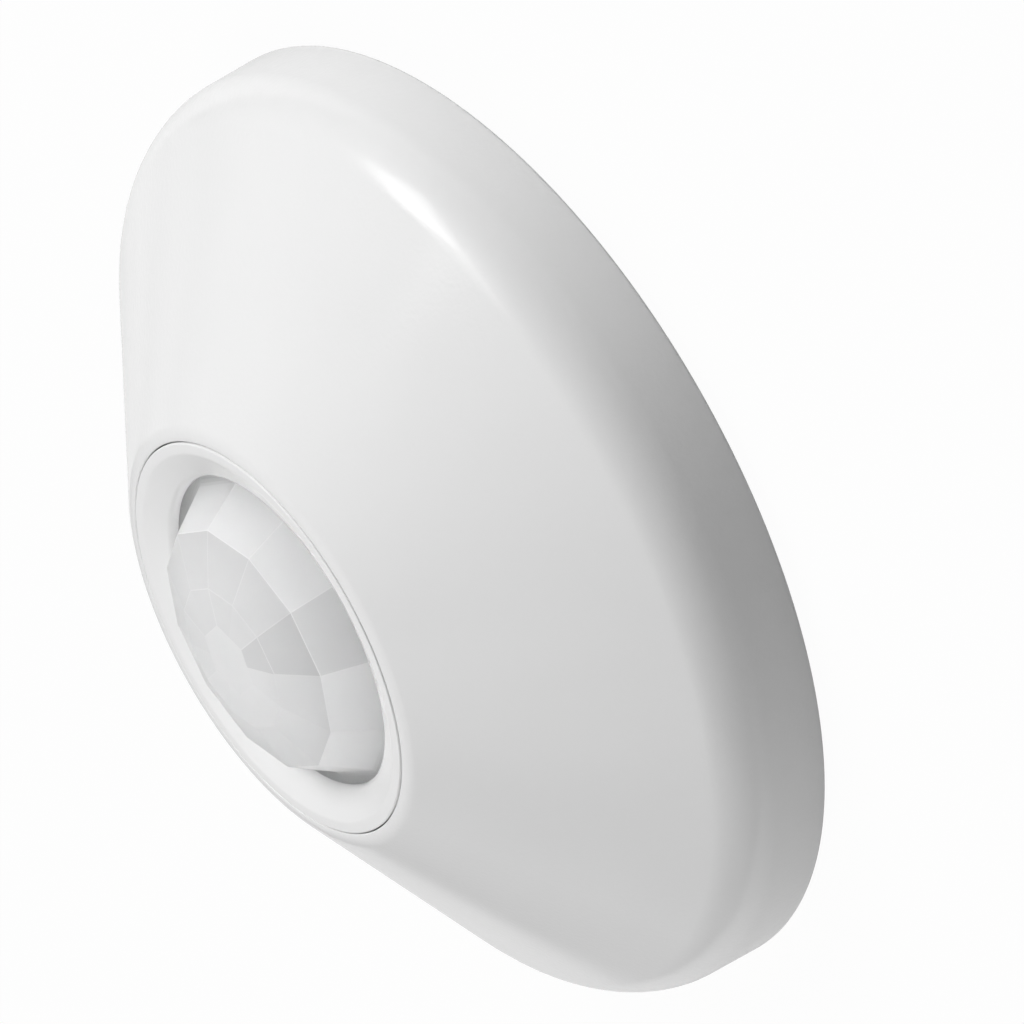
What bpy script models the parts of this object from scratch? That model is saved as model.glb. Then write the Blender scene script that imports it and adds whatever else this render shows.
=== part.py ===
"""Round ceiling motion sensor in metres, lying on its mounting face with the lens pointing along +Z."""

import math

import bmesh
import bpy

# Clearances
SEAT_GAP = 0.0003            # between pieces that rest on each other or run in each other
EMBED = 0.0008               # how far a joined feature sinks into the piece that carries it
CUT_OVERRUN = 0.001          # how far a cutter runs past the face it opens

# Smoothness of turned and rounded shapes
COVER_TURN_STEPS = 72
RING_TURN_STEPS = 48
SMALL_TURN_STEPS = 20
CHORD_ERROR = 0.00004        # how far a facet of a rounding may lie inside its true arc

# Front cover
COVER_RADIUS = 0.0578        # at the open edge of the skirt
COVER_WALL = 0.0022
SKIRT_LIFT = 0.0012          # mounting face to the open edge of the skirt
SKIRT_HEIGHT = 0.0109        # open edge to where the lines of the skirt and the cone meet
SKIRT_DRAFT = math.radians(2.3)
SKIRT_EDGE_ROUND = 0.0005
SHOULDER_ROUND = 0.0079
MOUTH_LAND = 0.0012          # width of the level rim round the mouth, before rounding
MOUTH_ROUND = 0.0028         # rounding between the cone and that rim
MOUTH_EDGE_ROUND = 0.00015
NECK_WALL = 0.0016
LEDGE_WIDTH = 0.003
LEDGE_HEIGHT = 0.0015

# Mounting plate and its openings
PLATE_THICKNESS = 0.002
PLATE_CLEARANCE = 0.0005     # plate edge to the inside of the skirt
BOX_SCREW_SPACING = 0.0889   # between the two keyholes
KEYHOLE_HEAD_RADIUS = 0.0042
KEYHOLE_HEAD_OFFSET = 0.005  # from the screw's working place to the centre of the head hole
SCREW_SLOT_WIDTH = 0.0046
SCREW_SLOT_REACH = 0.004     # from the screw's working place to the centre of the slot's end
GANG_SCREW_SPACING = 0.0833  # between the two straight slots
WIRE_HOLE_WIDTH = 0.026
WIRE_HOLE_DEPTH = 0.014
WIRE_HOLE_ROUND = 0.004
WIRE_HOLE_OFFSET = 0.002     # from the flat edge of the board to the hole

# Bayonet between plate and cover
HOOK_COUNT = 3
FIRST_HOOK = math.radians(20)
LUG_SPAN = math.radians(11)
LUG_DEPTH = 0.0024
LUG_HEIGHT = 0.0018
HOOK_SPAN = math.radians(16)
HOOK_WALL = 0.002
HOOK_LIP_HEIGHT = 0.0018
HOOK_CLEARANCE = 0.0005      # lip of the hook to the inside of the skirt
TWIST = math.radians(15)     # turn that takes a lug out from under its hook
END_STOP_SPAN = math.radians(2.5)

# Circuit board and its posts
BOARD_STANDOFF = 0.0064      # front of the plate to the back of the board
BOARD_RADIUS = 0.036
BOARD_THICKNESS = 0.0016
BOARD_FLAT = 0.017           # centre to the flat edge beside the wire hole
POST_RADIUS = 0.0032
POST_INSET = 0.0042          # board edge to the centre of a post
POST_TURNS = (math.radians(-90), math.radians(15), math.radians(165))
SCREW_RADIUS = 0.0012
SCREW_LENGTH = 0.0055
SCREW_HEAD_RADIUS = 0.0024
SCREW_HEAD_HEIGHT = 0.0015
SCREW_DRIVE_WIDTH = 0.0006
SCREW_DRIVE_DEPTH = 0.0007

# Infrared detector
SPACER_RADIUS = 0.0048
SPACER_HEIGHT = 0.0016
CAN_RADIUS = 0.0041
CAN_HEIGHT = 0.0042
CAN_FLANGE_RADIUS = 0.0046
CAN_FLANGE_HEIGHT = 0.0006
CAN_EDGE_ROUND = 0.0005
WINDOW_LENGTH = 0.0050
WINDOW_WIDTH = 0.0038
WINDOW_HEIGHT = 0.0005

# Faceted lens, in distances below its top
FOCAL_LENGTH = 0.0227        # top of the detector to the top of the lens
LENS_FACETS = 12
LENS_WALL = 0.0008
LENS_CAP_RADIUS = 0.0044
LENS_INNER_RADIUS = 0.0089
LENS_INNER_DROP = 0.00045
LENS_MIDDLE_RADIUS = 0.01515
LENS_MIDDLE_DROP = 0.00268
LENS_FOOT_RADIUS = 0.0189
LENS_FOOT_DROP = 0.0090
LENS_THROAT_DROP = 0.00664   # top of the lens to the inner edge of the trim ring's dish

# Trim ring and retainer
THROAT_CLEARANCE = 0.0005    # lens foot to the throat of the ring
RING_WIDTH = 0.0048          # throat of the ring to its outside
RING_WALL = 0.0015
RING_LIP_WIDTH = 0.0012
RING_LIP_RISE = 0.0001       # lip of the ring above the rim of the cover
RING_LIP_ROUND = 0.0005
THROAT_DEPTH = 0.00144       # rim of the cover to the inner edge of the dish
THROAT_ROUND = 0.0006
RETAINER_HEIGHT = 0.0016
RETAINER_LAP = 0.0003        # how far the retainer reaches inside the foot of the lens

# Indicator
LED_PLACE = (-0.0085, -0.007)
LED_RADIUS = 0.0015
LED_HEIGHT = 0.0052
LED_FLANGE_RADIUS = 0.0019
LED_FLANGE_HEIGHT = 0.001

# Program switch
SWITCH_PLACE = (0.0095, -0.006)
SWITCH_SIDE = 0.006
SWITCH_HEIGHT = 0.0036
SWITCH_EDGE = 0.0003
BUTTON_STEM_RADIUS = 0.0014
BUTTON_STEM_DEPTH = 0.0016   # how far the stem reaches into the switch
BUTTON_CAP_RADIUS = 0.0022
BUTTON_CAP_HEIGHT = 0.0028
BUTTON_CAP_ROUND = 0.0004
BUTTON_TRAVEL = 0.0005

# Wire terminals
POLES = 4
POLE_PITCH = 0.005
TERMINAL_DEPTH = 0.0082
TERMINAL_HEIGHT = 0.0095
TERMINAL_EDGE = 0.001        # flat edge of the board to the face of the block
TERMINAL_END_WALL = 0.0003
CLAMP_SCREW_RADIUS = 0.0016
CLAMP_SCREW_HEIGHT = 0.003
CLAMP_SCREW_SINK = 0.0006    # top of the block to the top of a clamp screw
WIRE_SOCKET_SIDE = 0.0026
WIRE_SOCKET_DEPTH = 0.0055
WIRE_SOCKET_LIFT = 0.0012    # bottom of the block to the bottom of a socket

# Other parts on the board
RELAY_SIZE = (0.010, 0.020, 0.0095)
RELAY_INSET = 0.014          # board edge to the middle of the relay
RELAY_SHIFT = -0.008
CONTROL_CHIP_SIZE = (0.010, 0.0075, 0.0023)
CONTROL_CHIP_INSET = 0.013
AMPLIFIER_CHIP_SIZE = (0.0086, 0.0039, 0.0016)
AMPLIFIER_CHIP_INSET = 0.023
REGULATOR_SIZE = (0.0066, 0.0061, 0.0023)
REGULATOR_INSET = 0.0098
REGULATOR_TURN = math.radians(-50)
PACKAGE_EDGE = 0.0003
FILTER_CAPACITOR_RADIUS = 0.004
FILTER_CAPACITOR_HEIGHT = 0.009
FILTER_CAPACITOR_INSET = 0.0107
FILTER_CAPACITOR_TURN = math.radians(-18)
SUPPLY_CAPACITOR_RADIUS = 0.003
SUPPLY_CAPACITOR_HEIGHT = 0.007
SUPPLY_CAPACITOR_INSET = 0.0145
SUPPLY_CAPACITOR_TURN = math.radians(7)
CAPACITOR_ROUND = 0.0006

# Heights that follow from the stack, from the mounting face up
board_back = PLATE_THICKNESS + BOARD_STANDOFF
board_front = board_back + BOARD_THICKNESS
part_seat = board_front + SEAT_GAP
can_seat = part_seat + SPACER_HEIGHT + SEAT_GAP
lens_top = can_seat + CAN_HEIGHT + FOCAL_LENGTH
lens_foot = lens_top - LENS_FOOT_DROP
throat_height = lens_top - LENS_THROAT_DROP
cover_top = throat_height + THROAT_DEPTH
retainer_top = lens_foot - LENS_WALL - SEAT_GAP
ring_bottom = retainer_top - RETAINER_HEIGHT
ledge_top = ring_bottom - SEAT_GAP
ledge_bottom = ledge_top - LEDGE_HEIGHT

# Radii that follow from the fits, from the lens out
throat_radius = LENS_FOOT_RADIUS + THROAT_CLEARANCE
ring_radius = throat_radius + RING_WIDTH
ring_bore = ring_radius - RING_WALL
mouth_radius = ring_radius + SEAT_GAP
neck_radius = mouth_radius + NECK_WALL

# Bayonet heights and radii that follow from the plate and the skirt
lug_low = PLATE_THICKNESS + SEAT_GAP
lug_high = lug_low + LUG_HEIGHT
lip_low = lug_high + SEAT_GAP
lip_high = lip_low + HOOK_LIP_HEIGHT

# Finishes as colour, roughness and metallic value
WHITE_PLASTIC = ((0.84, 0.84, 0.82), 0.42, 0.0)
MILKY_PLASTIC = ((0.78, 0.79, 0.79), 0.35, 0.0)
BLACK_PLASTIC = ((0.02, 0.02, 0.022), 0.5, 0.0)
GREEN_PLASTIC = ((0.05, 0.30, 0.12), 0.45, 0.0)
BOARD_GREEN = ((0.02, 0.17, 0.06), 0.4, 0.0)
BRIGHT_STEEL = ((0.60, 0.60, 0.62), 0.3, 1.0)
DARK_GLASS = ((0.05, 0.05, 0.06), 0.1, 0.0)
RED_LAMP = ((0.60, 0.06, 0.04), 0.15, 0.0)
BLUE_SLEEVE = ((0.05, 0.10, 0.30), 0.4, 0.0)

for old in list(bpy.data.objects):
    bpy.data.objects.remove(old, do_unlink=True)
parts = bpy.data.collections.new("ceiling_motion_sensor")
cutters = bpy.data.collections.new("cutters")
bpy.context.scene.collection.children.link(parts)
bpy.context.scene.collection.children.link(cutters)


# Outlines

def arc(centre, radius, start, end):
    """Points along an arc, both ends included."""
    steps = math.ceil(abs(end - start) / math.sqrt(8 * CHORD_ERROR / radius))
    points = []
    for i in range(steps + 1):
        angle = start + (end - start) * i / steps
        points.append((centre[0] + radius * math.cos(angle), centre[1] + radius * math.sin(angle)))
    return points


def rounded(corners):
    """A closed outline through corners of (x, y, rounding), with each rounding as an arc."""
    outline = []
    for i, (x, y, radius) in enumerate(corners):
        before = corners[i - 1]
        after = corners[(i + 1) % len(corners)]
        if radius == 0:
            outline.append((x, y))
            continue
        back = math.atan2(before[1] - y, before[0] - x)
        on = math.atan2(after[1] - y, after[0] - x)
        opening = (on - back + math.pi) % (2 * math.pi) - math.pi
        reach = radius / math.sin(abs(opening) / 2)
        middle = back + opening / 2
        centre = (x + reach * math.cos(middle), y + reach * math.sin(middle))
        turn = math.copysign(math.pi - abs(opening), opening)
        start = middle + math.pi + turn / 2
        outline += arc(centre, radius, start, start - turn)
    return outline


def sector(inner, outer, start, end):
    """Outline of a piece of a flat ring between two angles."""
    far = arc((0, 0), outer, start, end)
    near = arc((0, 0), inner, end, start)
    return far + near


# Solids

def add(name, mesh, collection):
    obj = bpy.data.objects.new(name, mesh)
    collection.objects.link(obj)
    return obj


def turned(name, profile, steps, collection):
    """A profile of (radius, height) turned about Z: closed, unless it starts and ends on the axis."""
    edges = [(i, i + 1) for i in range(len(profile) - 1)]
    if profile[0][0] > 0:
        edges.append((len(profile) - 1, 0))
    mesh = bpy.data.meshes.new(name)
    mesh.from_pydata([(radius, 0, height) for radius, height in profile], edges, [])
    obj = add(name, mesh, collection)
    screw = obj.modifiers.new("turn", "SCREW")
    screw.steps = steps
    screw.render_steps = steps
    screw.use_merge_vertices = True
    screw.merge_threshold = 0.000001
    return obj


def flat_solid(name, outline, low, high, collection):
    """A closed outline of (x, y) points, filled from one height to another."""
    curve = bpy.data.curves.new(name, "CURVE")
    curve.dimensions = "2D"
    curve.fill_mode = "BOTH"
    curve.extrude = (high - low) / 2
    spline = curve.splines.new("POLY")
    spline.points.add(len(outline) - 1)
    for point, (x, y) in zip(spline.points, outline):
        point.co = (x, y, 0, 1)
    spline.use_cyclic_u = True
    guide = add(name + "_outline", curve, cutters)
    graph = bpy.context.evaluated_depsgraph_get()
    mesh = bpy.data.meshes.new_from_object(guide.evaluated_get(graph))
    bpy.data.objects.remove(guide, do_unlink=True)
    work = bmesh.new()
    work.from_mesh(mesh)
    bmesh.ops.remove_doubles(work, verts=work.verts, dist=0.000001)
    bmesh.ops.recalc_face_normals(work, faces=work.faces)
    bmesh.ops.translate(work, verts=work.verts, vec=(0, 0, (low + high) / 2))
    work.to_mesh(mesh)
    work.free()
    return add(name, mesh, collection)


def block(name, size, low, collection):
    """A box of the given size, centred on Z, standing at the given height."""
    work = bmesh.new()
    bmesh.ops.create_cube(work, size=1)
    bmesh.ops.scale(work, verts=work.verts, vec=size)
    bmesh.ops.translate(work, verts=work.verts, vec=(0, 0, low + size[2] / 2))
    mesh = bpy.data.meshes.new(name)
    work.to_mesh(mesh)
    work.free()
    return add(name, mesh, collection)


def drum(name, radius, low, high, collection):
    """A plain cylinder about Z."""
    work = bmesh.new()
    bmesh.ops.create_cone(
        work, cap_ends=True, segments=SMALL_TURN_STEPS, radius1=radius, radius2=radius, depth=high - low)
    bmesh.ops.translate(work, verts=work.verts, vec=(0, 0, (low + high) / 2))
    mesh = bpy.data.meshes.new(name)
    work.to_mesh(mesh)
    work.free()
    return add(name, mesh, collection)


def boolean(target, tool, operation):
    tool.hide_render = True
    tool.display_type = "WIRE"
    modifier = target.modifiers.new(tool.name, "BOOLEAN")
    modifier.solver = "EXACT"
    modifier.operation = operation
    modifier.object = tool


def join(target, tool):
    boolean(target, tool, "UNION")


def cut(target, tool):
    boolean(target, tool, "DIFFERENCE")


def soften(obj, width):
    """Round the edges of a box-like piece."""
    bevel = obj.modifiers.new("edges", "BEVEL")
    bevel.width = width
    bevel.segments = 2


def move_to(obj, place, height=0):
    obj.location = (place[0], place[1], height)


def polar(radius, angle):
    return radius * math.cos(angle), radius * math.sin(angle)


def pivot(name, place, height, parent):
    """An empty on the axis of a moving group."""
    empty = bpy.data.objects.new(name, None)
    empty.empty_display_size = PLATE_THICKNESS
    parts.objects.link(empty)
    move_to(empty, place, height)
    empty.parent = parent
    return empty


def finish(obj, look, parent=None):
    """Bake the modifiers, shade the round faces smooth and give the piece its own material."""
    bpy.context.view_layer.update()
    graph = bpy.context.evaluated_depsgraph_get()
    mesh = bpy.data.meshes.new_from_object(obj.evaluated_get(graph))
    obj.modifiers.clear()
    obj.data = mesh
    mesh.shade_smooth()
    mesh.set_sharp_from_angle(angle=math.radians(30))
    colour, roughness, metallic = look
    material = bpy.data.materials.new(obj.name)
    material.use_nodes = True
    shader = material.node_tree.nodes["Principled BSDF"]
    shader.inputs["Base Color"].default_value = (*colour, 1)
    shader.inputs["Roughness"].default_value = roughness
    shader.inputs["Metallic"].default_value = metallic
    mesh.materials.clear()
    mesh.materials.append(material)
    obj.parent = parent


# Skirt geometry that both the cover and the plate use

def skirt_inside(height):
    """Inner radius of the cover's skirt at a height."""
    return COVER_RADIUS - COVER_WALL - (height - SKIRT_LIFT) * math.tan(SKIRT_DRAFT)


lug_inside = skirt_inside(lug_high) - LUG_DEPTH
lip_outside = skirt_inside(lip_high) - HOOK_CLEARANCE
plate_radius = skirt_inside(PLATE_THICKNESS) - PLATE_CLEARANCE
hook_outside = lug_inside - SEAT_GAP
hook_inside = hook_outside - HOOK_WALL
gap_angle = SEAT_GAP / lug_inside
hook_turns = [FIRST_HOOK + 2 * math.pi * i / HOOK_COUNT for i in range(HOOK_COUNT)]


# Front cover

def cover_profile():
    shoulder_height = SKIRT_LIFT + SKIRT_HEIGHT
    shoulder_radius = COVER_RADIUS - SKIRT_HEIGHT * math.tan(SKIRT_DRAFT)
    rim_radius = mouth_radius + MOUTH_LAND
    slope = (cover_top - shoulder_height) / (shoulder_radius - rim_radius)
    cone = math.atan(slope)
    under_radius = rim_radius - COVER_WALL * math.sin(cone)
    under_height = cover_top - COVER_WALL * math.cos(cone)

    def roof(radius):
        """Height of the cone's inner face at a radius."""
        return under_height - (radius - under_radius) * slope

    draft = math.tan(SKIRT_DRAFT)
    edge_radius = COVER_RADIUS - COVER_WALL
    inner_rise = (roof(edge_radius) - SKIRT_LIFT) / (1 - slope * draft)
    inner_radius = edge_radius - inner_rise * draft
    return rounded([
        (mouth_radius, cover_top, MOUTH_EDGE_ROUND),
        (rim_radius, cover_top, MOUTH_ROUND),
        (shoulder_radius, shoulder_height, SHOULDER_ROUND),
        (COVER_RADIUS, SKIRT_LIFT, SKIRT_EDGE_ROUND),
        (edge_radius, SKIRT_LIFT, 0),
        (inner_radius, SKIRT_LIFT + inner_rise, SHOULDER_ROUND - COVER_WALL),
        (neck_radius, roof(neck_radius), 0),
        (neck_radius, ledge_bottom, 0),
        (mouth_radius - LEDGE_WIDTH, ledge_bottom, 0),
        (mouth_radius - LEDGE_WIDTH, ledge_top, 0),
        (mouth_radius, ledge_top, 0),
    ])


cover_pivot = pivot("cover_pivot", (0, 0), 0, None)
front_cover = turned("front_cover", cover_profile(), COVER_TURN_STEPS, parts)
for i, turn in enumerate(hook_turns):
    outline = sector(lug_inside, skirt_inside(lug_low) + EMBED, turn - LUG_SPAN / 2, turn + LUG_SPAN / 2)
    join(front_cover, flat_solid(f"cover_lug_{i + 1}", outline, lug_low, lug_high, cutters))
finish(front_cover, WHITE_PLASTIC, cover_pivot)


# Mounting plate

def screw_slot(name, near, far):
    """Cutter for a screw's shank, from one distance along Y to another."""
    radius = SCREW_SLOT_WIDTH / 2
    outline = arc((0, far), radius, 0, math.pi)
    outline += arc((0, near), radius, math.pi, 2 * math.pi)
    return flat_solid(name, outline, -CUT_OVERRUN, PLATE_THICKNESS + CUT_OVERRUN, cutters)


mounting_plate = turned(
    "mounting_plate",
    [(0, PLATE_THICKNESS), (plate_radius, PLATE_THICKNESS), (plate_radius, 0), (0, 0)],
    COVER_TURN_STEPS, parts)
plate_root = PLATE_THICKNESS - EMBED
for i, turn in enumerate(hook_turns):
    low_end = turn - HOOK_SPAN / 2
    high_end = turn + HOOK_SPAN / 2
    stop_end = turn - LUG_SPAN / 2 - gap_angle
    far_stop = turn + LUG_SPAN / 2 + TWIST + gap_angle
    wall = sector(hook_inside, hook_outside, low_end, high_end)
    lip = sector(hook_outside - EMBED, lip_outside, low_end + gap_angle, high_end - gap_angle)
    stop = sector(hook_outside - EMBED, plate_radius - SEAT_GAP, low_end + 2 * gap_angle, stop_end)
    end = sector(hook_outside - EMBED, plate_radius - SEAT_GAP, far_stop, far_stop + END_STOP_SPAN)
    join(mounting_plate, flat_solid(f"hook_wall_{i + 1}", wall, plate_root, lip_high, cutters))
    join(mounting_plate, flat_solid(f"hook_lip_{i + 1}", lip, lip_low, lip_high - SEAT_GAP, cutters))
    join(mounting_plate, flat_solid(f"hook_stop_{i + 1}", stop, plate_root, lip_low + EMBED, cutters))
    join(mounting_plate, flat_solid(f"end_stop_{i + 1}", end, plate_root, lug_high, cutters))
post_places = [polar(BOARD_RADIUS - POST_INSET, turn) for turn in POST_TURNS]
pilot_bottom = part_seat - SCREW_LENGTH - SEAT_GAP
for i, place in enumerate(post_places):
    post = drum(f"post_{i + 1}", POST_RADIUS, plate_root, board_back - SEAT_GAP, cutters)
    move_to(post, place)
    join(mounting_plate, post)
for i, place in enumerate(post_places):
    pilot = drum(f"pilot_{i + 1}", SCREW_RADIUS + SEAT_GAP, pilot_bottom, board_back + CUT_OVERRUN, cutters)
    move_to(pilot, place)
    cut(mounting_plate, pilot)
for side in (1, -1):
    tag = "right" if side > 0 else "left"
    place = (side * BOX_SCREW_SPACING / 2, 0)
    ends = sorted((side * SCREW_SLOT_REACH, -side * KEYHOLE_HEAD_OFFSET))
    slot = screw_slot(f"keyhole_slot_{tag}", *ends)
    head = drum(
        f"keyhole_head_{tag}", KEYHOLE_HEAD_RADIUS, -CUT_OVERRUN, PLATE_THICKNESS + CUT_OVERRUN, cutters)
    move_to(slot, place)
    move_to(head, (place[0], -side * KEYHOLE_HEAD_OFFSET))
    cut(mounting_plate, slot)
    cut(mounting_plate, head)
    gang = screw_slot(f"gang_slot_{tag}", -SCREW_SLOT_REACH / 2, SCREW_SLOT_REACH / 2)
    move_to(gang, (0, side * GANG_SCREW_SPACING / 2))
    cut(mounting_plate, gang)
wire_near = BOARD_FLAT + WIRE_HOLE_OFFSET
wire_corners = [
    (WIRE_HOLE_WIDTH / 2, wire_near, WIRE_HOLE_ROUND),
    (WIRE_HOLE_WIDTH / 2, wire_near + WIRE_HOLE_DEPTH, WIRE_HOLE_ROUND),
    (-WIRE_HOLE_WIDTH / 2, wire_near + WIRE_HOLE_DEPTH, WIRE_HOLE_ROUND),
    (-WIRE_HOLE_WIDTH / 2, wire_near, WIRE_HOLE_ROUND),
]
cut(mounting_plate, flat_solid(
    "wire_hole", rounded(wire_corners), -CUT_OVERRUN, PLATE_THICKNESS + CUT_OVERRUN, cutters))
finish(mounting_plate, WHITE_PLASTIC)


# Trim ring, lens and retainer

def lens_mesh():
    """An open faceted dome, grown ring by ring from the edge of its flange to its top."""
    rings = [
        (LENS_FOOT_RADIUS, lens_foot),
        (LENS_MIDDLE_RADIUS, lens_top - LENS_MIDDLE_DROP),
        (LENS_INNER_RADIUS, lens_top - LENS_INNER_DROP),
        (LENS_CAP_RADIUS, lens_top),
    ]
    facet = 2 * math.pi / LENS_FACETS
    work = bmesh.new()
    bmesh.ops.create_circle(work, segments=LENS_FACETS, radius=ring_bore - SEAT_GAP)
    bmesh.ops.translate(work, verts=work.verts, vec=(0, 0, lens_foot))
    edges = list(work.edges)
    for radius, height in rings:
        grown = bmesh.ops.extrude_edge_only(work, edges=edges)["geom"]
        edges = [item for item in grown if isinstance(item, bmesh.types.BMEdge)]
        for vertex in [item for item in grown if isinstance(item, bmesh.types.BMVert)]:
            angle = math.atan2(vertex.co.x, vertex.co.y)
            reach = radius
            if radius == LENS_CAP_RADIUS and round(angle / facet) % 2:
                reach *= math.cos(facet)
            vertex.co = (reach * math.sin(angle), reach * math.cos(angle), height)
    bmesh.ops.contextual_create(work, geom=edges)
    bmesh.ops.recalc_face_normals(work, faces=work.faces)
    if sum(face.normal.z for face in work.faces) < 0:
        bmesh.ops.reverse_faces(work, faces=work.faces)
    mesh = bpy.data.meshes.new("fresnel_lens")
    work.to_mesh(mesh)
    work.free()
    return mesh


ring_pivot = pivot("lens_ring_pivot", (0, 0), 0, cover_pivot)
lip_top = cover_top + RING_LIP_RISE
trim_ring = turned("trim_ring", rounded([
    (ring_radius - RING_LIP_WIDTH, lip_top, RING_LIP_ROUND),
    (ring_radius, lip_top, RING_LIP_ROUND),
    (ring_radius, ring_bottom, 0),
    (ring_bore, ring_bottom, 0),
    (ring_bore, lens_foot + SEAT_GAP, 0),
    (throat_radius, lens_foot + SEAT_GAP, 0),
    (throat_radius, throat_height, THROAT_ROUND),
]), RING_TURN_STEPS, parts)
finish(trim_ring, WHITE_PLASTIC, ring_pivot)

fresnel_lens = add("fresnel_lens", lens_mesh(), parts)
shell = fresnel_lens.modifiers.new("wall", "SOLIDIFY")
shell.thickness = LENS_WALL
shell.offset = -1
shell.use_even_offset = True
finish(fresnel_lens, MILKY_PLASTIC, ring_pivot)

retainer_bore = LENS_FOOT_RADIUS - RETAINER_LAP
lens_retainer = turned("lens_retainer", [
    (ring_bore - SEAT_GAP, retainer_top),
    (ring_bore - SEAT_GAP, ring_bottom),
    (retainer_bore, ring_bottom),
    (retainer_bore, retainer_top),
], RING_TURN_STEPS, parts)
finish(lens_retainer, WHITE_PLASTIC, ring_pivot)


# Circuit board and its screws

flat_turn = math.asin(BOARD_FLAT / BOARD_RADIUS)
board_outline = arc((0, 0), BOARD_RADIUS, math.pi - flat_turn, 2 * math.pi + flat_turn)
circuit_board = flat_solid("circuit_board", board_outline, board_back, board_front, parts)
for i, place in enumerate(post_places):
    hole = drum(
        f"board_hole_{i + 1}", SCREW_RADIUS + SEAT_GAP, board_back - CUT_OVERRUN,
        board_front + CUT_OVERRUN, cutters)
    move_to(hole, place)
    cut(circuit_board, hole)
finish(circuit_board, BOARD_GREEN)


def slotted(name, profile, radius, top, place):
    """A turned screw with a driver slot across its head."""
    screw = turned(name, profile, SMALL_TURN_STEPS, parts)
    drive = block(
        name + "_drive", (2 * radius + CUT_OVERRUN, SCREW_DRIVE_WIDTH, 2 * SCREW_DRIVE_DEPTH),
        top - SCREW_DRIVE_DEPTH, cutters)
    cut(screw, drive)
    finish(screw, BRIGHT_STEEL)
    move_to(screw, place)


for i, place in enumerate(post_places):
    head_top = part_seat + SCREW_HEAD_HEIGHT
    slotted(f"board_screw_{i + 1}", [
        (0, head_top),
        (SCREW_HEAD_RADIUS, head_top),
        (SCREW_HEAD_RADIUS, part_seat),
        (SCREW_RADIUS, part_seat),
        (SCREW_RADIUS, part_seat - SCREW_LENGTH),
        (0, part_seat - SCREW_LENGTH),
    ], SCREW_HEAD_RADIUS, head_top, place)


# Infrared detector

pyro_spacer = drum("pyro_spacer", SPACER_RADIUS, part_seat, part_seat + SPACER_HEIGHT, parts)
finish(pyro_spacer, BLACK_PLASTIC)

can_top = can_seat + CAN_HEIGHT
can_shoulder = can_seat + CAN_FLANGE_HEIGHT
can_corner = arc((CAN_RADIUS - CAN_EDGE_ROUND, can_top - CAN_EDGE_ROUND), CAN_EDGE_ROUND, math.pi / 2, 0)
pyro_can = turned("pyro_can", [(0, can_top), *can_corner] + [
    (CAN_RADIUS, can_shoulder),
    (CAN_FLANGE_RADIUS, can_shoulder),
    (CAN_FLANGE_RADIUS, can_seat),
    (0, can_seat),
], SMALL_TURN_STEPS, parts)
window_seat = can_top - WINDOW_HEIGHT
pocket_size = (
    WINDOW_LENGTH + 2 * SEAT_GAP,
    WINDOW_WIDTH + 2 * SEAT_GAP,
    WINDOW_HEIGHT + SEAT_GAP + CUT_OVERRUN,
)
cut(pyro_can, block("window_pocket", pocket_size, window_seat - SEAT_GAP, cutters))
finish(pyro_can, BRIGHT_STEEL)

pyro_window = block("pyro_window", (WINDOW_LENGTH, WINDOW_WIDTH, WINDOW_HEIGHT), window_seat, parts)
finish(pyro_window, DARK_GLASS)


# Indicator

led_dome = arc((0, part_seat + LED_HEIGHT - LED_RADIUS), LED_RADIUS, math.pi / 2, 0)
indicator_led = turned("indicator_led", [(0, led_dome[0][1]), *led_dome[1:]] + [
    (LED_RADIUS, part_seat + LED_FLANGE_HEIGHT),
    (LED_FLANGE_RADIUS, part_seat + LED_FLANGE_HEIGHT),
    (LED_FLANGE_RADIUS, part_seat),
    (0, part_seat),
], SMALL_TURN_STEPS, parts)
finish(indicator_led, RED_LAMP)
move_to(indicator_led, LED_PLACE)


# Program switch and its button

switch_top = part_seat + SWITCH_HEIGHT
stem_bottom = switch_top - BUTTON_STEM_DEPTH
switch_body = block("switch_body", (SWITCH_SIDE, SWITCH_SIDE, SWITCH_HEIGHT), part_seat, parts)
soften(switch_body, SWITCH_EDGE)
cut(switch_body, drum(
    "stem_hole", BUTTON_STEM_RADIUS + SEAT_GAP, stem_bottom - BUTTON_TRAVEL - SEAT_GAP,
    switch_top + CUT_OVERRUN, cutters))
finish(switch_body, BLACK_PLASTIC)
move_to(switch_body, SWITCH_PLACE)

button_pivot = pivot("program_button_pivot", SWITCH_PLACE, 0, None)
cap_bottom = switch_top + BUTTON_TRAVEL + SEAT_GAP
cap_top = cap_bottom + BUTTON_CAP_HEIGHT
cap_corner = arc(
    (BUTTON_CAP_RADIUS - BUTTON_CAP_ROUND, cap_top - BUTTON_CAP_ROUND), BUTTON_CAP_ROUND, math.pi / 2, 0)
program_button = turned("program_button", [(0, cap_top), *cap_corner] + [
    (BUTTON_CAP_RADIUS, cap_bottom),
    (BUTTON_STEM_RADIUS, cap_bottom),
    (BUTTON_STEM_RADIUS, stem_bottom),
    (0, stem_bottom),
], SMALL_TURN_STEPS, parts)
finish(program_button, WHITE_PLASTIC, button_pivot)


# Wire terminals

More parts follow.
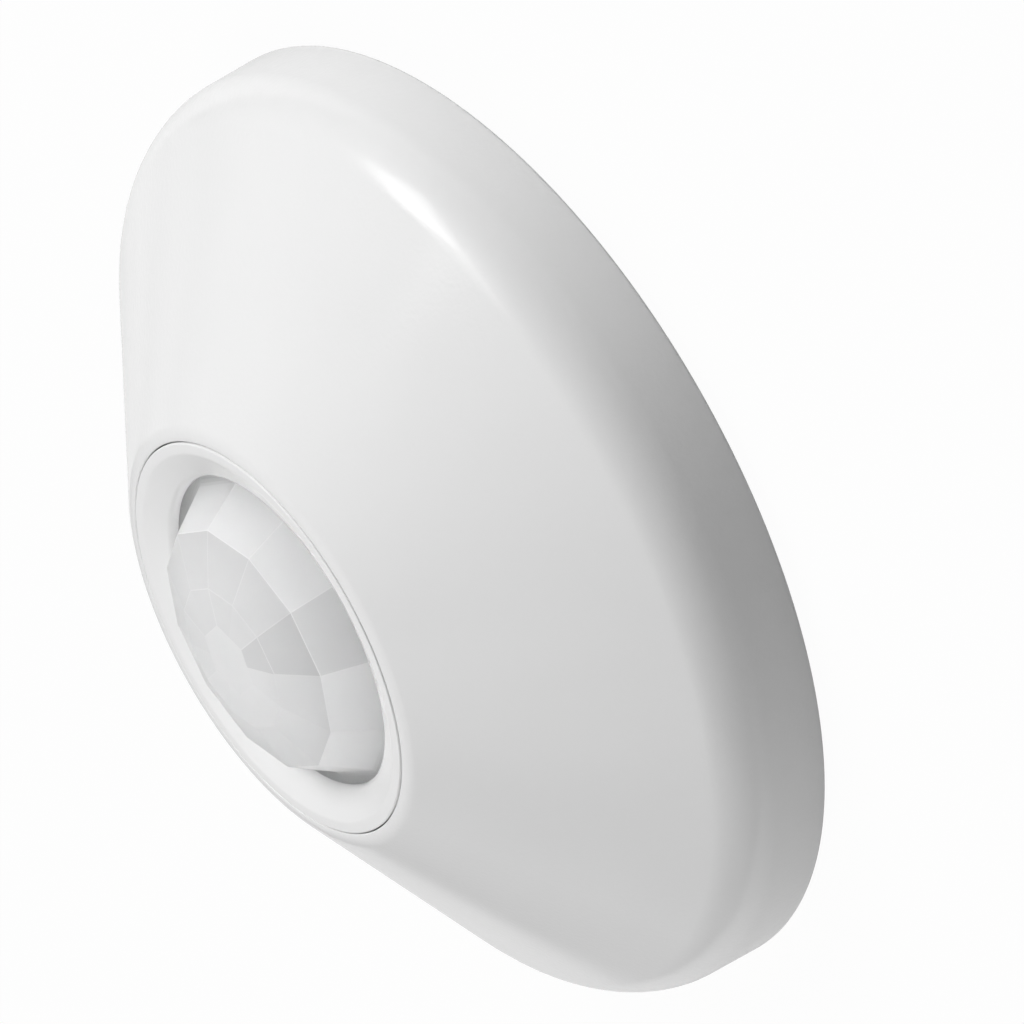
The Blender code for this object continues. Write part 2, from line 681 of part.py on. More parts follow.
terminal_length = POLES * POLE_PITCH + 2 * TERMINAL_END_WALL
terminal_face = BOARD_FLAT - TERMINAL_EDGE
terminal_middle = terminal_face - TERMINAL_DEPTH / 2
terminal_top = part_seat + TERMINAL_HEIGHT
clamp_top = terminal_top - CLAMP_SCREW_SINK
clamp_bottom = clamp_top - CLAMP_SCREW_HEIGHT
terminal_size = (terminal_length, TERMINAL_DEPTH, TERMINAL_HEIGHT)
terminal_block = block("terminal_block", terminal_size, part_seat, parts)
move_to(terminal_block, (0, terminal_middle))
pole_places = [((i - (POLES - 1) / 2) * POLE_PITCH, terminal_middle) for i in range(POLES)]
for i, place in enumerate(pole_places):
    well = drum(
        f"clamp_well_{i + 1}", CLAMP_SCREW_RADIUS + SEAT_GAP, clamp_bottom - SEAT_GAP,
        terminal_top + CUT_OVERRUN, cutters)
    move_to(well, place)
    cut(terminal_block, well)
    socket_size = (WIRE_SOCKET_SIDE, WIRE_SOCKET_DEPTH + CUT_OVERRUN, WIRE_SOCKET_SIDE)
    socket = block(f"wire_socket_{i + 1}", socket_size, part_seat + WIRE_SOCKET_LIFT, cutters)
    move_to(socket, (place[0], terminal_face + (CUT_OVERRUN - WIRE_SOCKET_DEPTH) / 2))
    cut(terminal_block, socket)
finish(terminal_block, GREEN_PLASTIC)
for i, place in enumerate(pole_places):
    slotted(f"terminal_screw_{i + 1}", [
        (0, clamp_top),
        (CLAMP_SCREW_RADIUS, clamp_top),
        (CLAMP_SCREW_RADIUS, clamp_bottom),
        (0, clamp_bottom),
    ], CLAMP_SCREW_RADIUS, clamp_top, place)


# Other parts on the board

def package(name, size, place, look):
    """A moulded part standing on the board."""
    obj = block(name, size, part_seat, parts)
    soften(obj, PACKAGE_EDGE)
    finish(obj, look)
    move_to(obj, place)


def capacitor(name, radius, height, place):
    """A standing can with a rounded top edge."""
    top = part_seat + height
    corner = arc((radius - CAPACITOR_ROUND, top - CAPACITOR_ROUND), CAPACITOR_ROUND, math.pi / 2, 0)
    obj = turned(name, [(0, top), *corner, (radius, part_seat), (0, part_seat)], SMALL_TURN_STEPS, parts)
    finish(obj, BLUE_SLEEVE)
    move_to(obj, place)


package("relay", RELAY_SIZE, (RELAY_INSET - BOARD_RADIUS, RELAY_SHIFT), BLACK_PLASTIC)
package("control_chip", CONTROL_CHIP_SIZE, (0, CONTROL_CHIP_INSET - BOARD_RADIUS), BLACK_PLASTIC)
package("amplifier_chip", AMPLIFIER_CHIP_SIZE, (0, AMPLIFIER_CHIP_INSET - BOARD_RADIUS), BLACK_PLASTIC)
regulator_place = polar(BOARD_RADIUS - REGULATOR_INSET, REGULATOR_TURN)
package("voltage_regulator", REGULATOR_SIZE, regulator_place, BLACK_PLASTIC)
capacitor(
    "filter_capacitor", FILTER_CAPACITOR_RADIUS, FILTER_CAPACITOR_HEIGHT,
    polar(BOARD_RADIUS - FILTER_CAPACITOR_INSET, FILTER_CAPACITOR_TURN))
capacitor(
    "supply_capacitor", SUPPLY_CAPACITOR_RADIUS, SUPPLY_CAPACITOR_HEIGHT,
    polar(BOARD_RADIUS - SUPPLY_CAPACITOR_INSET, SUPPLY_CAPACITOR_TURN))
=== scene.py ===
"""A round ceiling motion sensor, dressed, in metres, lying on its mounting face with the lens up."""

import math
from contextlib import contextmanager

import bmesh
import bpy
from mathutils import Matrix, Vector


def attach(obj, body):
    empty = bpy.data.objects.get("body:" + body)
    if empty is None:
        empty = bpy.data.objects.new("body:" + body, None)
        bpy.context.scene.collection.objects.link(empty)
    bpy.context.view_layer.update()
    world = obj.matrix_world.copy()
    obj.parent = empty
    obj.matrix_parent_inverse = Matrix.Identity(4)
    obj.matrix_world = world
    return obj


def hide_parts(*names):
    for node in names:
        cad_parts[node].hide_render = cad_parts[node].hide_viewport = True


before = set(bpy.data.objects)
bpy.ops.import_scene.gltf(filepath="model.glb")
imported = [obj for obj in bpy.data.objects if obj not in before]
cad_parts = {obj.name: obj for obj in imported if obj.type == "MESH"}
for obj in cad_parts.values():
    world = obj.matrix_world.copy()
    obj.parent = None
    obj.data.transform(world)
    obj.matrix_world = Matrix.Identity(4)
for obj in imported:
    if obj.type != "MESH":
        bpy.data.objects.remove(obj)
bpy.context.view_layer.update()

# Fits and smoothness
SEAT_GAP = 0.0003  # between pieces that rest on each other or run in each other
EMBED = 0.0008  # how far a joined feature sinks into the piece that carries it
CUT_OVERRUN = 0.001  # how far a cutter runs past the face it opens
SAME_PLACE = 0.00001  # how near a corner has to lie to count as the one looked for
SPECK = 0.000001  # points nearer than this are one point
WIDE_TURN = 192  # sides of the large turned pieces
SMALL_TURN = 48  # sides of the small ones
ROUND_STEP = math.radians(6)  # turn of one facet in a rounding
BAR_STEP = ROUND_STEP / 2  # turn of one facet in a bar bent round the axis
EDGE_STEPS = 2  # facets in a small rounded edge
SQUARELY = 0.9  # share of a face's normal along an axis, for a face that looks along it
CREASE = math.radians(32)  # edges sharper than this stay crisp
FINE_EDGE = 0.0001  # rounding of the small edges of moulded and stamped parts

# Cover
COVER_RADIUS = 0.0578
COVER_WALL = 0.0022
SKIRT_LIFT = 0.0012
SKIRT_HEIGHT = 0.0109
SKIRT_DRAFT = math.radians(2.3)
SKIRT_EDGE_ROUND = 0.0005
SHOULDER_ROUND = 0.0079
MOUTH_LAND = 0.0012
MOUTH_ROUND = 0.0028
MOUTH_EDGE_ROUND = 0.00015
NECK_WALL = 0.0016
LEDGE_WIDTH = 0.003
LEDGE_HEIGHT = 0.0015
COVER_TOP = 0.0339

# Lens: radii of its tiers, and how far they lie below its top
LENS_TOP = 0.0391
LENS_FACETS = 12
LENS_WALL = 0.0008
LENS_CAP_RADIUS = 0.0044
LENS_INNER_RADIUS = 0.0089
LENS_INNER_DROP = 0.00045
LENS_MIDDLE_RADIUS = 0.01515
LENS_MIDDLE_DROP = 0.00268
LENS_FOOT_RADIUS = 0.0189
LENS_FOOT_FLARE = 0.0003  # how far the side facets spread past the foot's radius
LENS_FOOT_DROP = 0.009
LENS_FILLET = 0.0012  # how far the fillet between side and flange reaches along both
LENS_FILLET_STEPS = 5
LENS_SEAM = 0.00007  # half the width of the seam between two facets
LENS_FOLD = math.radians(3)  # facets that meet at less than this have no seam between them

# Tones of the lens, from 0 for black to 1 for white, with painted light and shade in them
LENS_TONE = 0.79  # the facets
LENS_SIDE_GLOW_TONE = 0.91  # the side facets, painted paler: painted light that stands in for light let through from inside
LENS_SEAM_HIGHLIGHT = 0.03  # how much paler the seams are painted than the facets beside them: a painted highlight along the facet edges
LENS_GLOW_SWING = 0.045  # how far the painted tone swings round the lens, paler towards one wedge and darker opposite it: painted light the wedge painted palest; wedges are counted from +Y towards +X
LENS_PALEST_WEDGE = 9  # wedges are counted from +Y towards +X
# A wedge whose facets are painted darker: painted shade
LENS_SHADED_WEDGE = 6
LENS_WEDGE_SHADE = 0.88  # share of its tone that the shaded wedge keeps, as painted shade

# Trim ring and retainer
THROAT_RADIUS = 0.0194
THROAT_HEIGHT = 0.03246
THROAT_ROUND = 0.0012
RING_RADIUS = 0.0242
RING_WALL = 0.0015
RING_LIP_WIDTH = 0.0012
RING_LIP_TOP = 0.034
RING_LIP_ROUND = 0.0002  # outer edge of the lip
RING_DISH_ROUND = 0.001  # where the lip rolls into the dish
RING_LIP_DEPTH = 0.001
RING_REVEAL = 0.00015  # gap that shows between the lip and the cover's mouth
RING_BOTTOM = 0.0274
RING_SEAT_WIDTH = 0.0012  # the foot that holds the lens flange down
RING_CORE_TOP = 0.0322  # the hollow under the dish, at its outer wall
THROAT_LIP = 0.0009  # thickness of the dish at its inner edge
RETAINER_HEIGHT = 0.0016
RETAINER_LAP = 0.0003  # how far the retainer reaches inside the foot of the lens
RETAINER_ROUND = 0.0003

# Mounting plate and its openings
PLATE_THICKNESS = 0.002
PLATE_CLEARANCE = 0.0005
PLATE_EDGE = 0.0003
BOX_SCREW_SPACING = 0.0889  # between the two keyholes
KEYHOLE_HEAD_RADIUS = 0.0042
KEYHOLE_HEAD_OFFSET = 0.005
SCREW_SLOT_WIDTH = 0.0046
SCREW_SLOT_REACH = 0.004
GANG_SCREW_SPACING = 0.0833  # between the two straight slots
WIRE_HOLE_WIDTH = 0.026
WIRE_HOLE_DEPTH = 0.014
WIRE_HOLE_ROUND = 0.004
WIRE_HOLE_STEPS = 10
WIRE_HOLE_OFFSET = 0.002  # from the flat edge of the board to the hole

# Bayonet between plate and cover
HOOK_COUNT = 3
FIRST_HOOK = math.radians(20)
LUG_SPAN = math.radians(11)
LUG_DEPTH = 0.0024
LUG_HEIGHT = 0.0018
HOOK_SPAN = math.radians(16)
HOOK_WALL = 0.002
HOOK_LIP_HEIGHT = 0.0018
HOOK_CLEARANCE = 0.0005
TWIST = math.radians(15)  # turn that takes a lug out from under its hook
END_STOP_SPAN = math.radians(2.5)

# Circuit board, its posts and its screws
BOARD_STANDOFF = 0.0064
BOARD_RADIUS = 0.036
BOARD_THICKNESS = 0.0016
BOARD_FLAT = 0.017  # centre to the flat edge beside the wire hole
POST_RADIUS = 0.0032
POST_INSET = 0.0042
POST_TURNS = (math.radians(-90), math.radians(15), math.radians(165))
SCREW_RADIUS = 0.0012
SCREW_LENGTH = 0.0055
SCREW_HEAD_RADIUS = 0.0024
SCREW_HEAD_HEIGHT = 0.0015
SCREW_HEAD_ROUND = 0.0008
SCREW_DRIVE_WIDTH = 0.0006
SCREW_DRIVE_DEPTH = 0.0007
THREAD_PITCH = 0.0008
THREAD_DEPTH = 0.0002
LEG_RADIUS = 0.0003
SOLDER_RADIUS = 0.0009
SOLDER_HEIGHT = 0.0007
SOLDER_HOLLOW = SEAT_GAP / 3  # between the joint and the board, beside the leg
SOLDER_WAIST = (0.55, 0.4)  # where its slope bends, in shares of its radius and height
SOLDER_TIP = 1.2  # radius of its tip as a share of the leg's
LEG_SIDES = 16

# Infrared detector
SPACER_RADIUS = 0.0048
SPACER_HEIGHT = 0.0016
CAN_RADIUS = 0.0041
CAN_HEIGHT = 0.0042
CAN_FLANGE_RADIUS = 0.0046
CAN_FLANGE_HEIGHT = 0.0006
CAN_EDGE_ROUND = 0.0005
CAN_KEY_SIDE = 0.0009  # width of the key at the edge of the flange
CAN_KEY_TURN = math.radians(45)
CAN_LEGS = 3  # a quarter turn apart
CAN_LEG_RING = 0.00254
WINDOW_LENGTH = 0.0050
WINDOW_WIDTH = 0.0038
WINDOW_HEIGHT = 0.0005

# Indicator
LED_PLACE = (-0.0085, -0.007)
LED_RADIUS = 0.0015
LED_DOME_ROUND = 0.98 * LED_RADIUS
LED_HEIGHT = 0.0052
LED_FLANGE_RADIUS = 0.0019
LED_FLANGE_HEIGHT = 0.001
LED_FLAT = 0.0016  # from its middle to the flat side of the flange
LED_LEG_SPREAD = 0.00127

# Program switch
SWITCH_PLACE = (0.0095, -0.006)
SWITCH_SIDE = 0.006
SWITCH_HEIGHT = 0.0036
SWITCH_EDGE = 0.0003
SWITCH_LID = 0.0003  # thickness of the pressed lid
SWITCH_LID_INSET = 0.00015
SWITCH_RIVET_RADIUS = 0.0004
SWITCH_RIVET_INSET = 0.0009
SWITCH_LEG_SPREAD = 0.00225
BUTTON_STEM_RADIUS = 0.0014
BUTTON_STEM_DEPTH = 0.0016
BUTTON_CAP_RADIUS = 0.0022
BUTTON_CAP_HEIGHT = 0.0028
BUTTON_CAP_ROUND = 0.0004
BUTTON_DISH_RADIUS = 0.0014
BUTTON_DISH_DEPTH = 0.00015
BUTTON_TRAVEL = 0.0005

# Wire terminals
POLES = 4
POLE_PITCH = 0.005
TERMINAL_DEPTH = 0.0082
TERMINAL_HEIGHT = 0.0095
TERMINAL_EDGE = 0.001  # flat edge of the board to the face of the block
TERMINAL_END_WALL = 0.0003
TERMINAL_ROUND = 0.0003
TERMINAL_GROOVE = 0.0004  # width and depth of the groove between two poles
CLAMP_SCREW_RADIUS = 0.0016
CLAMP_SCREW_HEIGHT = 0.003
CLAMP_SCREW_SINK = 0.0006
WIRE_SOCKET_SIDE = 0.0026
WIRE_SOCKET_DEPTH = 0.0055
WIRE_SOCKET_LIFT = 0.0012

# Other parts on the board
RELAY_SIZE = (0.010, 0.020, 0.0095)
RELAY_INSET = 0.014
RELAY_SHIFT = -0.008
RELAY_BASE = 0.0015  # height of the base that the relay's cover stands on
RELAY_STEP = 0.0003
RELAY_EDGE = 2 * FINE_EDGE
RELAY_EDGE_STEPS = 3
RELAY_PANEL_INSET = 0.0012
RELAY_PANEL_DEPTH = 0.0002
RELAY_LEG_INSET = (0.0015, 0.0025)
CONTROL_CHIP_SIZE = (0.010, 0.0075, 0.0023)
CONTROL_CHIP_INSET = 0.013
CONTROL_CHIP_LEADS = 7
CONTROL_CHIP_REACH = 0.001  # how far a lead stands out from the chip's side
AMPLIFIER_CHIP_SIZE = (0.0086, 0.0039, 0.0016)
AMPLIFIER_CHIP_INSET = 0.023
AMPLIFIER_CHIP_LEADS = 7
AMPLIFIER_CHIP_REACH = 0.0007
CHIP_DRAW = 0.95  # how much the halves of a chip draw in from its parting line
CHIP_DIMPLE_RADIUS = 0.0004
CHIP_DIMPLE_INSET = 0.0011
LEAD_THICKNESS = 0.0002
LEAD_SHARE = 0.4  # width of a lead as a share of the pitch
LEAD_SHOULDER = 0.35  # shares of a lead's reach: level, sloping down, and flat on the board
LEAD_SLOPE = 0.2
LEAD_FOOT = 1 - LEAD_SHOULDER - LEAD_SLOPE
REGULATOR_SIZE = (0.0066, 0.0061, 0.0023)
REGULATOR_INSET = 0.0098
REGULATOR_TURN = math.radians(-50)
REGULATOR_LEADS = 3
REGULATOR_REACH = 0.0012
REGULATOR_TAB = (0.0054, 0.0011, 0.0005)
FILTER_CAPACITOR_RADIUS = 0.004
FILTER_CAPACITOR_HEIGHT = 0.009
FILTER_CAPACITOR_INSET = 0.0107
FILTER_CAPACITOR_TURN = math.radians(-18)
FILTER_STRIPE_TURN = math.radians(-20)
SUPPLY_CAPACITOR_RADIUS = 0.003
SUPPLY_CAPACITOR_HEIGHT = 0.007
SUPPLY_CAPACITOR_INSET = 0.0145
SUPPLY_CAPACITOR_TURN = math.radians(7)
SUPPLY_STRIPE_TURN = math.radians(60)
CAPACITOR_ROUND = 0.0006
CAPACITOR_SLEEVE = 0.72  # radius of the bare top as a share of the can's
CAPACITOR_CRIMP = 0.0003  # depth of the groove round the can's foot
CAPACITOR_CRIMP_LIFT = 0.0014
CAPACITOR_VENT = 0.0002  # width and depth of the scored cross on the top
CAPACITOR_LEG_SHARE = 0.4  # legs from the middle, as a share of the radius

# Finishes: patterns by their number to the metre or by their size, and colours
PLASTIC_CLOUDS = 70
LENS_CLOUDS = 150
LENS_SPREAD = 0.045  # how far light spreads in the lens
METAL_STAINS = 400
METAL_WEAR = 4000
METAL_WEAR_DEPTH = 0.000005
BOARD_CLOUDS = 200
RUN_FIELDS = 110  # patches of copper runs that lie the same way
RUN_BARE_SHARE = 0.3  # share of the patches that have none
RUN_PITCH = 0.0012
RUN_WIDTH = 0.4 * RUN_PITCH
RUN_HEIGHT = 0.00003
FILTER_CLOUDS = 500
RESIN_CLOUDS = 600
SLEEVE_CLOUDS = 300
STRIPE_SPAN = 0.8  # angle that the sleeve's stripe takes up, in radians
MASK_GREEN = (0.012, 0.11, 0.04, 1)
RUN_GREEN = (0.03, 0.2, 0.07, 1)
LAMINATE = (0.42, 0.37, 0.18, 1)
FILTER_DARK = (0.035, 0.03, 0.05, 1)
FILTER_TINT = (0.07, 0.05, 0.08, 1)
RESIN_DEEP = (0.55, 0.03, 0.02, 1)
RESIN_PALE = (0.75, 0.08, 0.05, 1)
SLEEVE_DEEP = (0.012, 0.03, 0.12, 1)
SLEEVE_BLUE = (0.02, 0.05, 0.17, 1)
STRIPE_PALE = (0.5, 0.55, 0.6, 1)
TERMINAL_DEEP = (0.035, 0.22, 0.08, 1)
TERMINAL_GREEN = (0.05, 0.27, 0.1, 1)

# Camera
CAMERA_AZIMUTH = math.radians(-4.53)
CAMERA_ELEVATION = math.radians(25.96)
CAMERA_ROLL = math.radians(-119.59)
CAMERA_DISTANCE = 0.8
CAMERA_SHIFT = (0.001812, -0.000334)  # from the skirt's centre, along the camera's own right and up
IMAGE_SIDE = 1024
FOCAL_PIXELS = 7056.4
SENSOR = 36

# Floor and light
FLOOR_SIDE = 12
FLOOR_PAINT = 0.5
FLOOR_WHITE = 0.97  # share of plain white in the floor as the camera sees it
FLOOR_IN_MIRRORS = 0.5  # how much of that white glossy surfaces mirror
AMBIENT = 0.11
KEY_LAMP_SIDE = 0.36
EDGE_CARD_SIDE = 0.3
FILL_LAMP_SIDE = 0.5

# Heights that follow from the stack
lens_foot = LENS_TOP - LENS_FOOT_DROP
ledge_top = RING_BOTTOM - SEAT_GAP
board_back = PLATE_THICKNESS + BOARD_STANDOFF
board_front = board_back + BOARD_THICKNESS
part_seat = board_front + SEAT_GAP
can_seat = part_seat + SPACER_HEIGHT + SEAT_GAP
can_top = can_seat + CAN_HEIGHT
switch_top = part_seat + SWITCH_HEIGHT
terminal_top = part_seat + TERMINAL_HEIGHT
lug_low = PLATE_THICKNESS + SEAT_GAP
lug_high = lug_low + LUG_HEIGHT
lip_low = lug_high + SEAT_GAP
lip_high = lip_low + HOOK_LIP_HEIGHT

# Radii that follow from the fits
ring_bore = RING_RADIUS - RING_WALL
mouth_radius = RING_RADIUS + SEAT_GAP
neck_radius = mouth_radius + NECK_WALL


def skirt_inside(height):
    """Inner radius of the cover's skirt at a height."""
    return COVER_RADIUS - COVER_WALL - (height - SKIRT_LIFT) * math.tan(SKIRT_DRAFT)


def polar(radius, angle):
    return radius * math.cos(angle), radius * math.sin(angle)


plate_radius = skirt_inside(PLATE_THICKNESS) - PLATE_CLEARANCE
lug_inside = skirt_inside(lug_high) - LUG_DEPTH
lip_outside = skirt_inside(lip_high) - HOOK_CLEARANCE
hook_outside = lug_inside - SEAT_GAP
hook_inside = hook_outside - HOOK_WALL
gap_angle = SEAT_GAP / lug_inside
hook_turns = [FIRST_HOOK + 2 * math.pi * i / HOOK_COUNT for i in range(HOOK_COUNT)]

# Places on the board
terminal_face = BOARD_FLAT - TERMINAL_EDGE
terminal_middle = terminal_face - TERMINAL_DEPTH / 2
post_places = [polar(BOARD_RADIUS - POST_INSET, turn) for turn in POST_TURNS]
pole_places = [((i - (POLES - 1) / 2) * POLE_PITCH, terminal_middle) for i in range(POLES)]
relay_place = (RELAY_INSET - BOARD_RADIUS, RELAY_SHIFT)
control_chip_place = (0, CONTROL_CHIP_INSET - BOARD_RADIUS)
amplifier_chip_place = (0, AMPLIFIER_CHIP_INSET - BOARD_RADIUS)
regulator_place = polar(BOARD_RADIUS - REGULATOR_INSET, REGULATOR_TURN)
filter_place = polar(BOARD_RADIUS - FILTER_CAPACITOR_INSET, FILTER_CAPACITOR_TURN)
supply_place = polar(BOARD_RADIUS - SUPPLY_CAPACITOR_INSET, SUPPLY_CAPACITOR_TURN)


# Modelling helpers

def take_only(obj):
    """Select one object and make it the active one."""
    bpy.ops.object.select_all(action="DESELECT")
    obj.select_set(True)
    bpy.context.view_layer.objects.active = obj


def named(name):
    """The object just added, under its own name, with its place put into its mesh."""
    obj = bpy.context.active_object
    obj.name = name
    obj.data.name = name
    bpy.ops.object.transform_apply(location=True, rotation=True, scale=True)
    return obj


def new_shape(name, add, **settings):
    """Add a primitive with nothing else selected."""
    bpy.ops.object.select_all(action="DESELECT")
    add(**settings)
    return named(name)


@contextmanager
def editing(obj, kind="EDGE", first="DESELECT"):
    """Edit mode on one piece, with nothing or everything selected at first."""
    take_only(obj)
    bpy.ops.object.mode_set(mode="EDIT")
    bpy.ops.mesh.select_mode(type=kind)
    bpy.ops.mesh.select_all(action=first)
    yield
    bpy.ops.object.mode_set(mode="OBJECT")


def select(obj, kind, test):
    """Select the verts, edges or faces that pass a test, in the edit mode that is on."""
    bpy.ops.mesh.select_all(action="DESELECT")
    mesh = bmesh.from_edit_mesh(obj.data)
    for item in getattr(mesh, kind):
        if test(item):
            item.select_set(True)
    mesh.select_flush_mode()
    bmesh.update_edit_mesh(obj.data)


def at_corner(radius, height):
    """A test for edges that run round the axis at a radius and a height."""
    def test(edge):
        spots = [vertex.co for vertex in edge.verts]
        return all(
            abs(math.hypot(spot.x, spot.y) - radius) < SAME_PLACE and abs(spot.z - height) < SAME_PLACE
            for spot in spots)
    return test


def upright(edge):
    return abs(edge.verts[0].co.z - edge.verts[1].co.z) > SAME_PLACE


def facing(axis, sign):
    """A test for faces that look along an axis."""
    return lambda face: face.normal[axis] * sign > SQUARELY


def corner_turn(before, here, after):
    """How far an outline turns at a corner."""
    arriving = math.atan2(here[1] - before[1], here[0] - before[0])
    leaving = math.atan2(after[1] - here[1], after[0] - here[0])
    return abs((leaving - arriving + math.pi) % (2 * math.pi) - math.pi)


def grow_loop(last, corner):
    """Carry the selected loop on from one (radius, height) to the next."""
    grow = corner[0] / last[0]
    bpy.ops.mesh.extrude_edges_move(TRANSFORM_OT_translate={"value": (0, 0, corner[1] - last[1])})
    bpy.ops.transform.resize(value=(grow, grow, 1), center_override=(0, 0, corner[1]))


def outward_normals():
    """Merge the points that meet and turn every face outwards."""
    bpy.ops.mesh.select_all(action="SELECT")
    bpy.ops.mesh.remove_doubles(threshold=SAME_PLACE)
    bpy.ops.mesh.normals_make_consistent(inside=False)


def turned(name, corners, sides=SMALL_TURN, capped=True):
    """A body grown loop by loop through corners of (radius, height, rounding), capped or closed as a ring."""
    obj = new_shape(
        name, bpy.ops.mesh.primitive_circle_add,
        vertices=sides, radius=corners[0][0], fill_type="NOTHING", location=(0, 0, corners[0][1]))
    path = corners[1:] if capped else corners[1:] + corners[:1]
    with editing(obj, first="SELECT"):
        if capped:
            bpy.ops.mesh.edge_face_add()
        last = corners[0]
        for corner in path:
            grow_loop(last, corner)
            last = corner
        if capped:
            bpy.ops.mesh.edge_face_add()
        outward_normals()
        for i, (radius, height, rounding) in enumerate(corners):
            if rounding:
                before = (0, height) if capped and i == 0 else corners[i - 1]
                after = (0, height) if capped and i == len(corners) - 1 else corners[(i + 1) % len(corners)]
                turn = corner_turn(before, (radius, height), after)
                select(obj, "edges", at_corner(radius, height))
                bpy.ops.mesh.bevel(
                    offset=rounding * math.tan(turn / 2), segments=math.ceil(turn / ROUND_STEP),
                    clamp_overlap=False)
    return obj


def apply(obj, kind, **settings):
    """Add a modifier with its settings and apply it."""
    take_only(obj)
    bpy.ops.object.modifier_add(type=kind)
    modifier = obj.modifiers[-1]
    for key, value in settings.items():
        setattr(modifier, key, value)
    bpy.ops.object.modifier_apply(modifier=modifier.name)


def block(name, size, middle, low, edge=0):
    """A box standing at a height round a middle point, with its edges rounded."""
    obj = new_shape(
        name, bpy.ops.mesh.primitive_cube_add,
        size=1, location=(*middle, low + size[2] / 2), scale=size)
    if edge:
        apply(obj, "BEVEL", width=edge, segments=EDGE_STEPS)
    return obj


def drum(name, radius, low, high, place=(0, 0)):
    """A plain cylinder, as a cutter or as a start."""
    return new_shape(
        name, bpy.ops.mesh.primitive_cylinder_add,
        vertices=SMALL_TURN, radius=radius, depth=high - low, location=(*place, (low + high) / 2))


def sector(name, inner, outer, low, high, start, end):
    """A bar bent round the axis, from one angle to another."""
    middle = ((inner + outer) / 2, 0, (low + high) / 2)
    obj = new_shape(
        name, bpy.ops.mesh.primitive_plane_add, size=1, location=middle, rotation=(math.pi / 2, 0, 0))
    with editing(obj, "FACE", "SELECT"):
        bpy.ops.transform.resize(value=(outer - inner, 1, high - low), center_override=middle)
        bpy.ops.mesh.spin(
            steps=math.ceil((end - start) / BAR_STEP), angle=start - end, center=(0, 0, 0), axis=(0, 0, 1))
        outward_normals()
    obj.rotation_euler.z = start
    take_only(obj)
    return named(name)


def boolean(obj, tool, operation):
    """Join a tool to a piece or cut it away, and clear the tool."""
    apply(obj, "BOOLEAN", object=tool, operation=operation, solver="EXACT")
    bpy.data.objects.remove(tool)


def join(obj, tool):
    boolean(obj, tool, "UNION")


def cut(obj, tool):
    boolean(obj, tool, "DIFFERENCE")


def sink(obj, radius, bottom, top, place):
    """Sink a round hole from a face at one height down to another height."""
    cut(obj, drum("hole", radius, bottom, top + CUT_OVERRUN, place))


def slice_off(obj, direction, distance):
    """Cut away what lies past a distance along a direction, and close the cut."""
    with editing(obj, "FACE", "SELECT"):
        bpy.ops.mesh.bisect(
            plane_co=direction * distance, plane_no=direction, use_fill=True, clear_outer=True)
        outward_normals()


def copy(obj, name, turn=0, place=(0, 0)):
    """A copy with a mesh of its own, turned about the axis and then moved."""
    take_only(obj)
    bpy.ops.object.duplicate(linked=False)
    twin = bpy.context.active_object
    twin.rotation_euler.z = turn
    twin.location = (*place, 0)
    return named(name)


def move(obj, place):
    take_only(obj)
    bpy.ops.transform.translate(value=(*place, 0))
    return named(obj.name)


def gather(name, pieces):
    """Several objects as one piece."""
    bpy.ops.object.select_all(action="DESELECT")
    for piece in pieces:
        piece.select_set(True)
    bpy.context.view_layer.objects.active = pieces[0]
    bpy.ops.object.join()
    return named(name)


def clean(obj):
    """Merge points that lie on each other and clear faces without area."""
    with editing(obj, "VERT", "SELECT"):
        bpy.ops.mesh.remove_doubles(threshold=SPECK)
        bpy.ops.mesh.dissolve_degenerate(threshold=SPECK)


def settle(obj, body, node, material, angle=CREASE):
    """Clean and shade a finished piece, give it its material and put it on its body in place of a node."""
    clean(obj)
    take_only(obj)
    bpy.ops.object.shade_smooth_by_angle(angle=angle)
    obj.data.materials.append(material)
    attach(obj, body)
    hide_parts(node)


# Shader sheets

def operator(operation, swapped=False):
    """A method that joins a wire and another value by one step of shader maths."""
    if swapped:
        return lambda wire, other: wire.math(operation, other, wire)
    return lambda wire, other: wire.math(operation, wire, other)


class Wire:
    """A socket of a shader sheet that takes part in Python expressions."""

    def __init__(self, sheet, socket):
        self.sheet = sheet
        self.socket = socket

    def math(self, operation, *values):
        return self.sheet.node("ShaderNodeMath", {"operation": operation}, dict(enumerate(values)))

    __add__ = operator("ADD")
    __radd__ = operator("ADD", swapped=True)
    __sub__ = operator("SUBTRACT")
    __rsub__ = operator("SUBTRACT", swapped=True)
    __mul__ = operator("MULTIPLY")
    __gt__ = operator("GREATER_THAN")
    __lt__ = operator("LESS_THAN")


class Sheet:
    """The node sheet of one material or of the world."""

    def __init__(self, tree):
        self.tree = tree
        tree.nodes.clear()

    def node(self, kind, settings, sockets, out=0):
        """A node with its settings, then the values or wires of its sockets, and one of its outputs."""
        made = self.tree.nodes.new(kind)
        for key, value in settings.items():
            setattr(made, key, value)
        for key, value in sockets.items():
            if isinstance(value, Wire):
                self.tree.links.new(value.socket, made.inputs[key])
            else:
                made.inputs[key].default_value = value
        return Wire(self, made.outputs[out]) if made.outputs else None


def new_sheet(name):
    material = bpy.data.materials.new(name)
    material.use_nodes = True
    return material, Sheet(material.node_tree)


def grey(level):
    return (level, level, level, 1)


def other_output(wire, name):
    """Another output of the node that a wire comes from."""
    return Wire(wire.sheet, wire.socket.node.outputs[name])


def object_place(sheet):
    return sheet.node("ShaderNodeTexCoord", {}, {}, out="Object")


def noise(sheet, place, scale, detail=2):
    """A cloudy pattern between 0 and 1, its scale in clouds to the metre."""
    return sheet.node("ShaderNodeTexNoise", {}, {"Vector": place, "Scale": scale, "Detail": detail})


def mix_colours(sheet, share, first, second):
    """A colour between two others; sockets 6 and 7 are the colour pair of the node."""
    return sheet.node("ShaderNodeMix", {"data_type": "RGBA"}, {0: share, 6: first, 7: second}, out=2)


def swing(wire, amount):
    """A pattern between 0 and 1 as a swing about nothing."""
    return (wire - 0.5) * amount


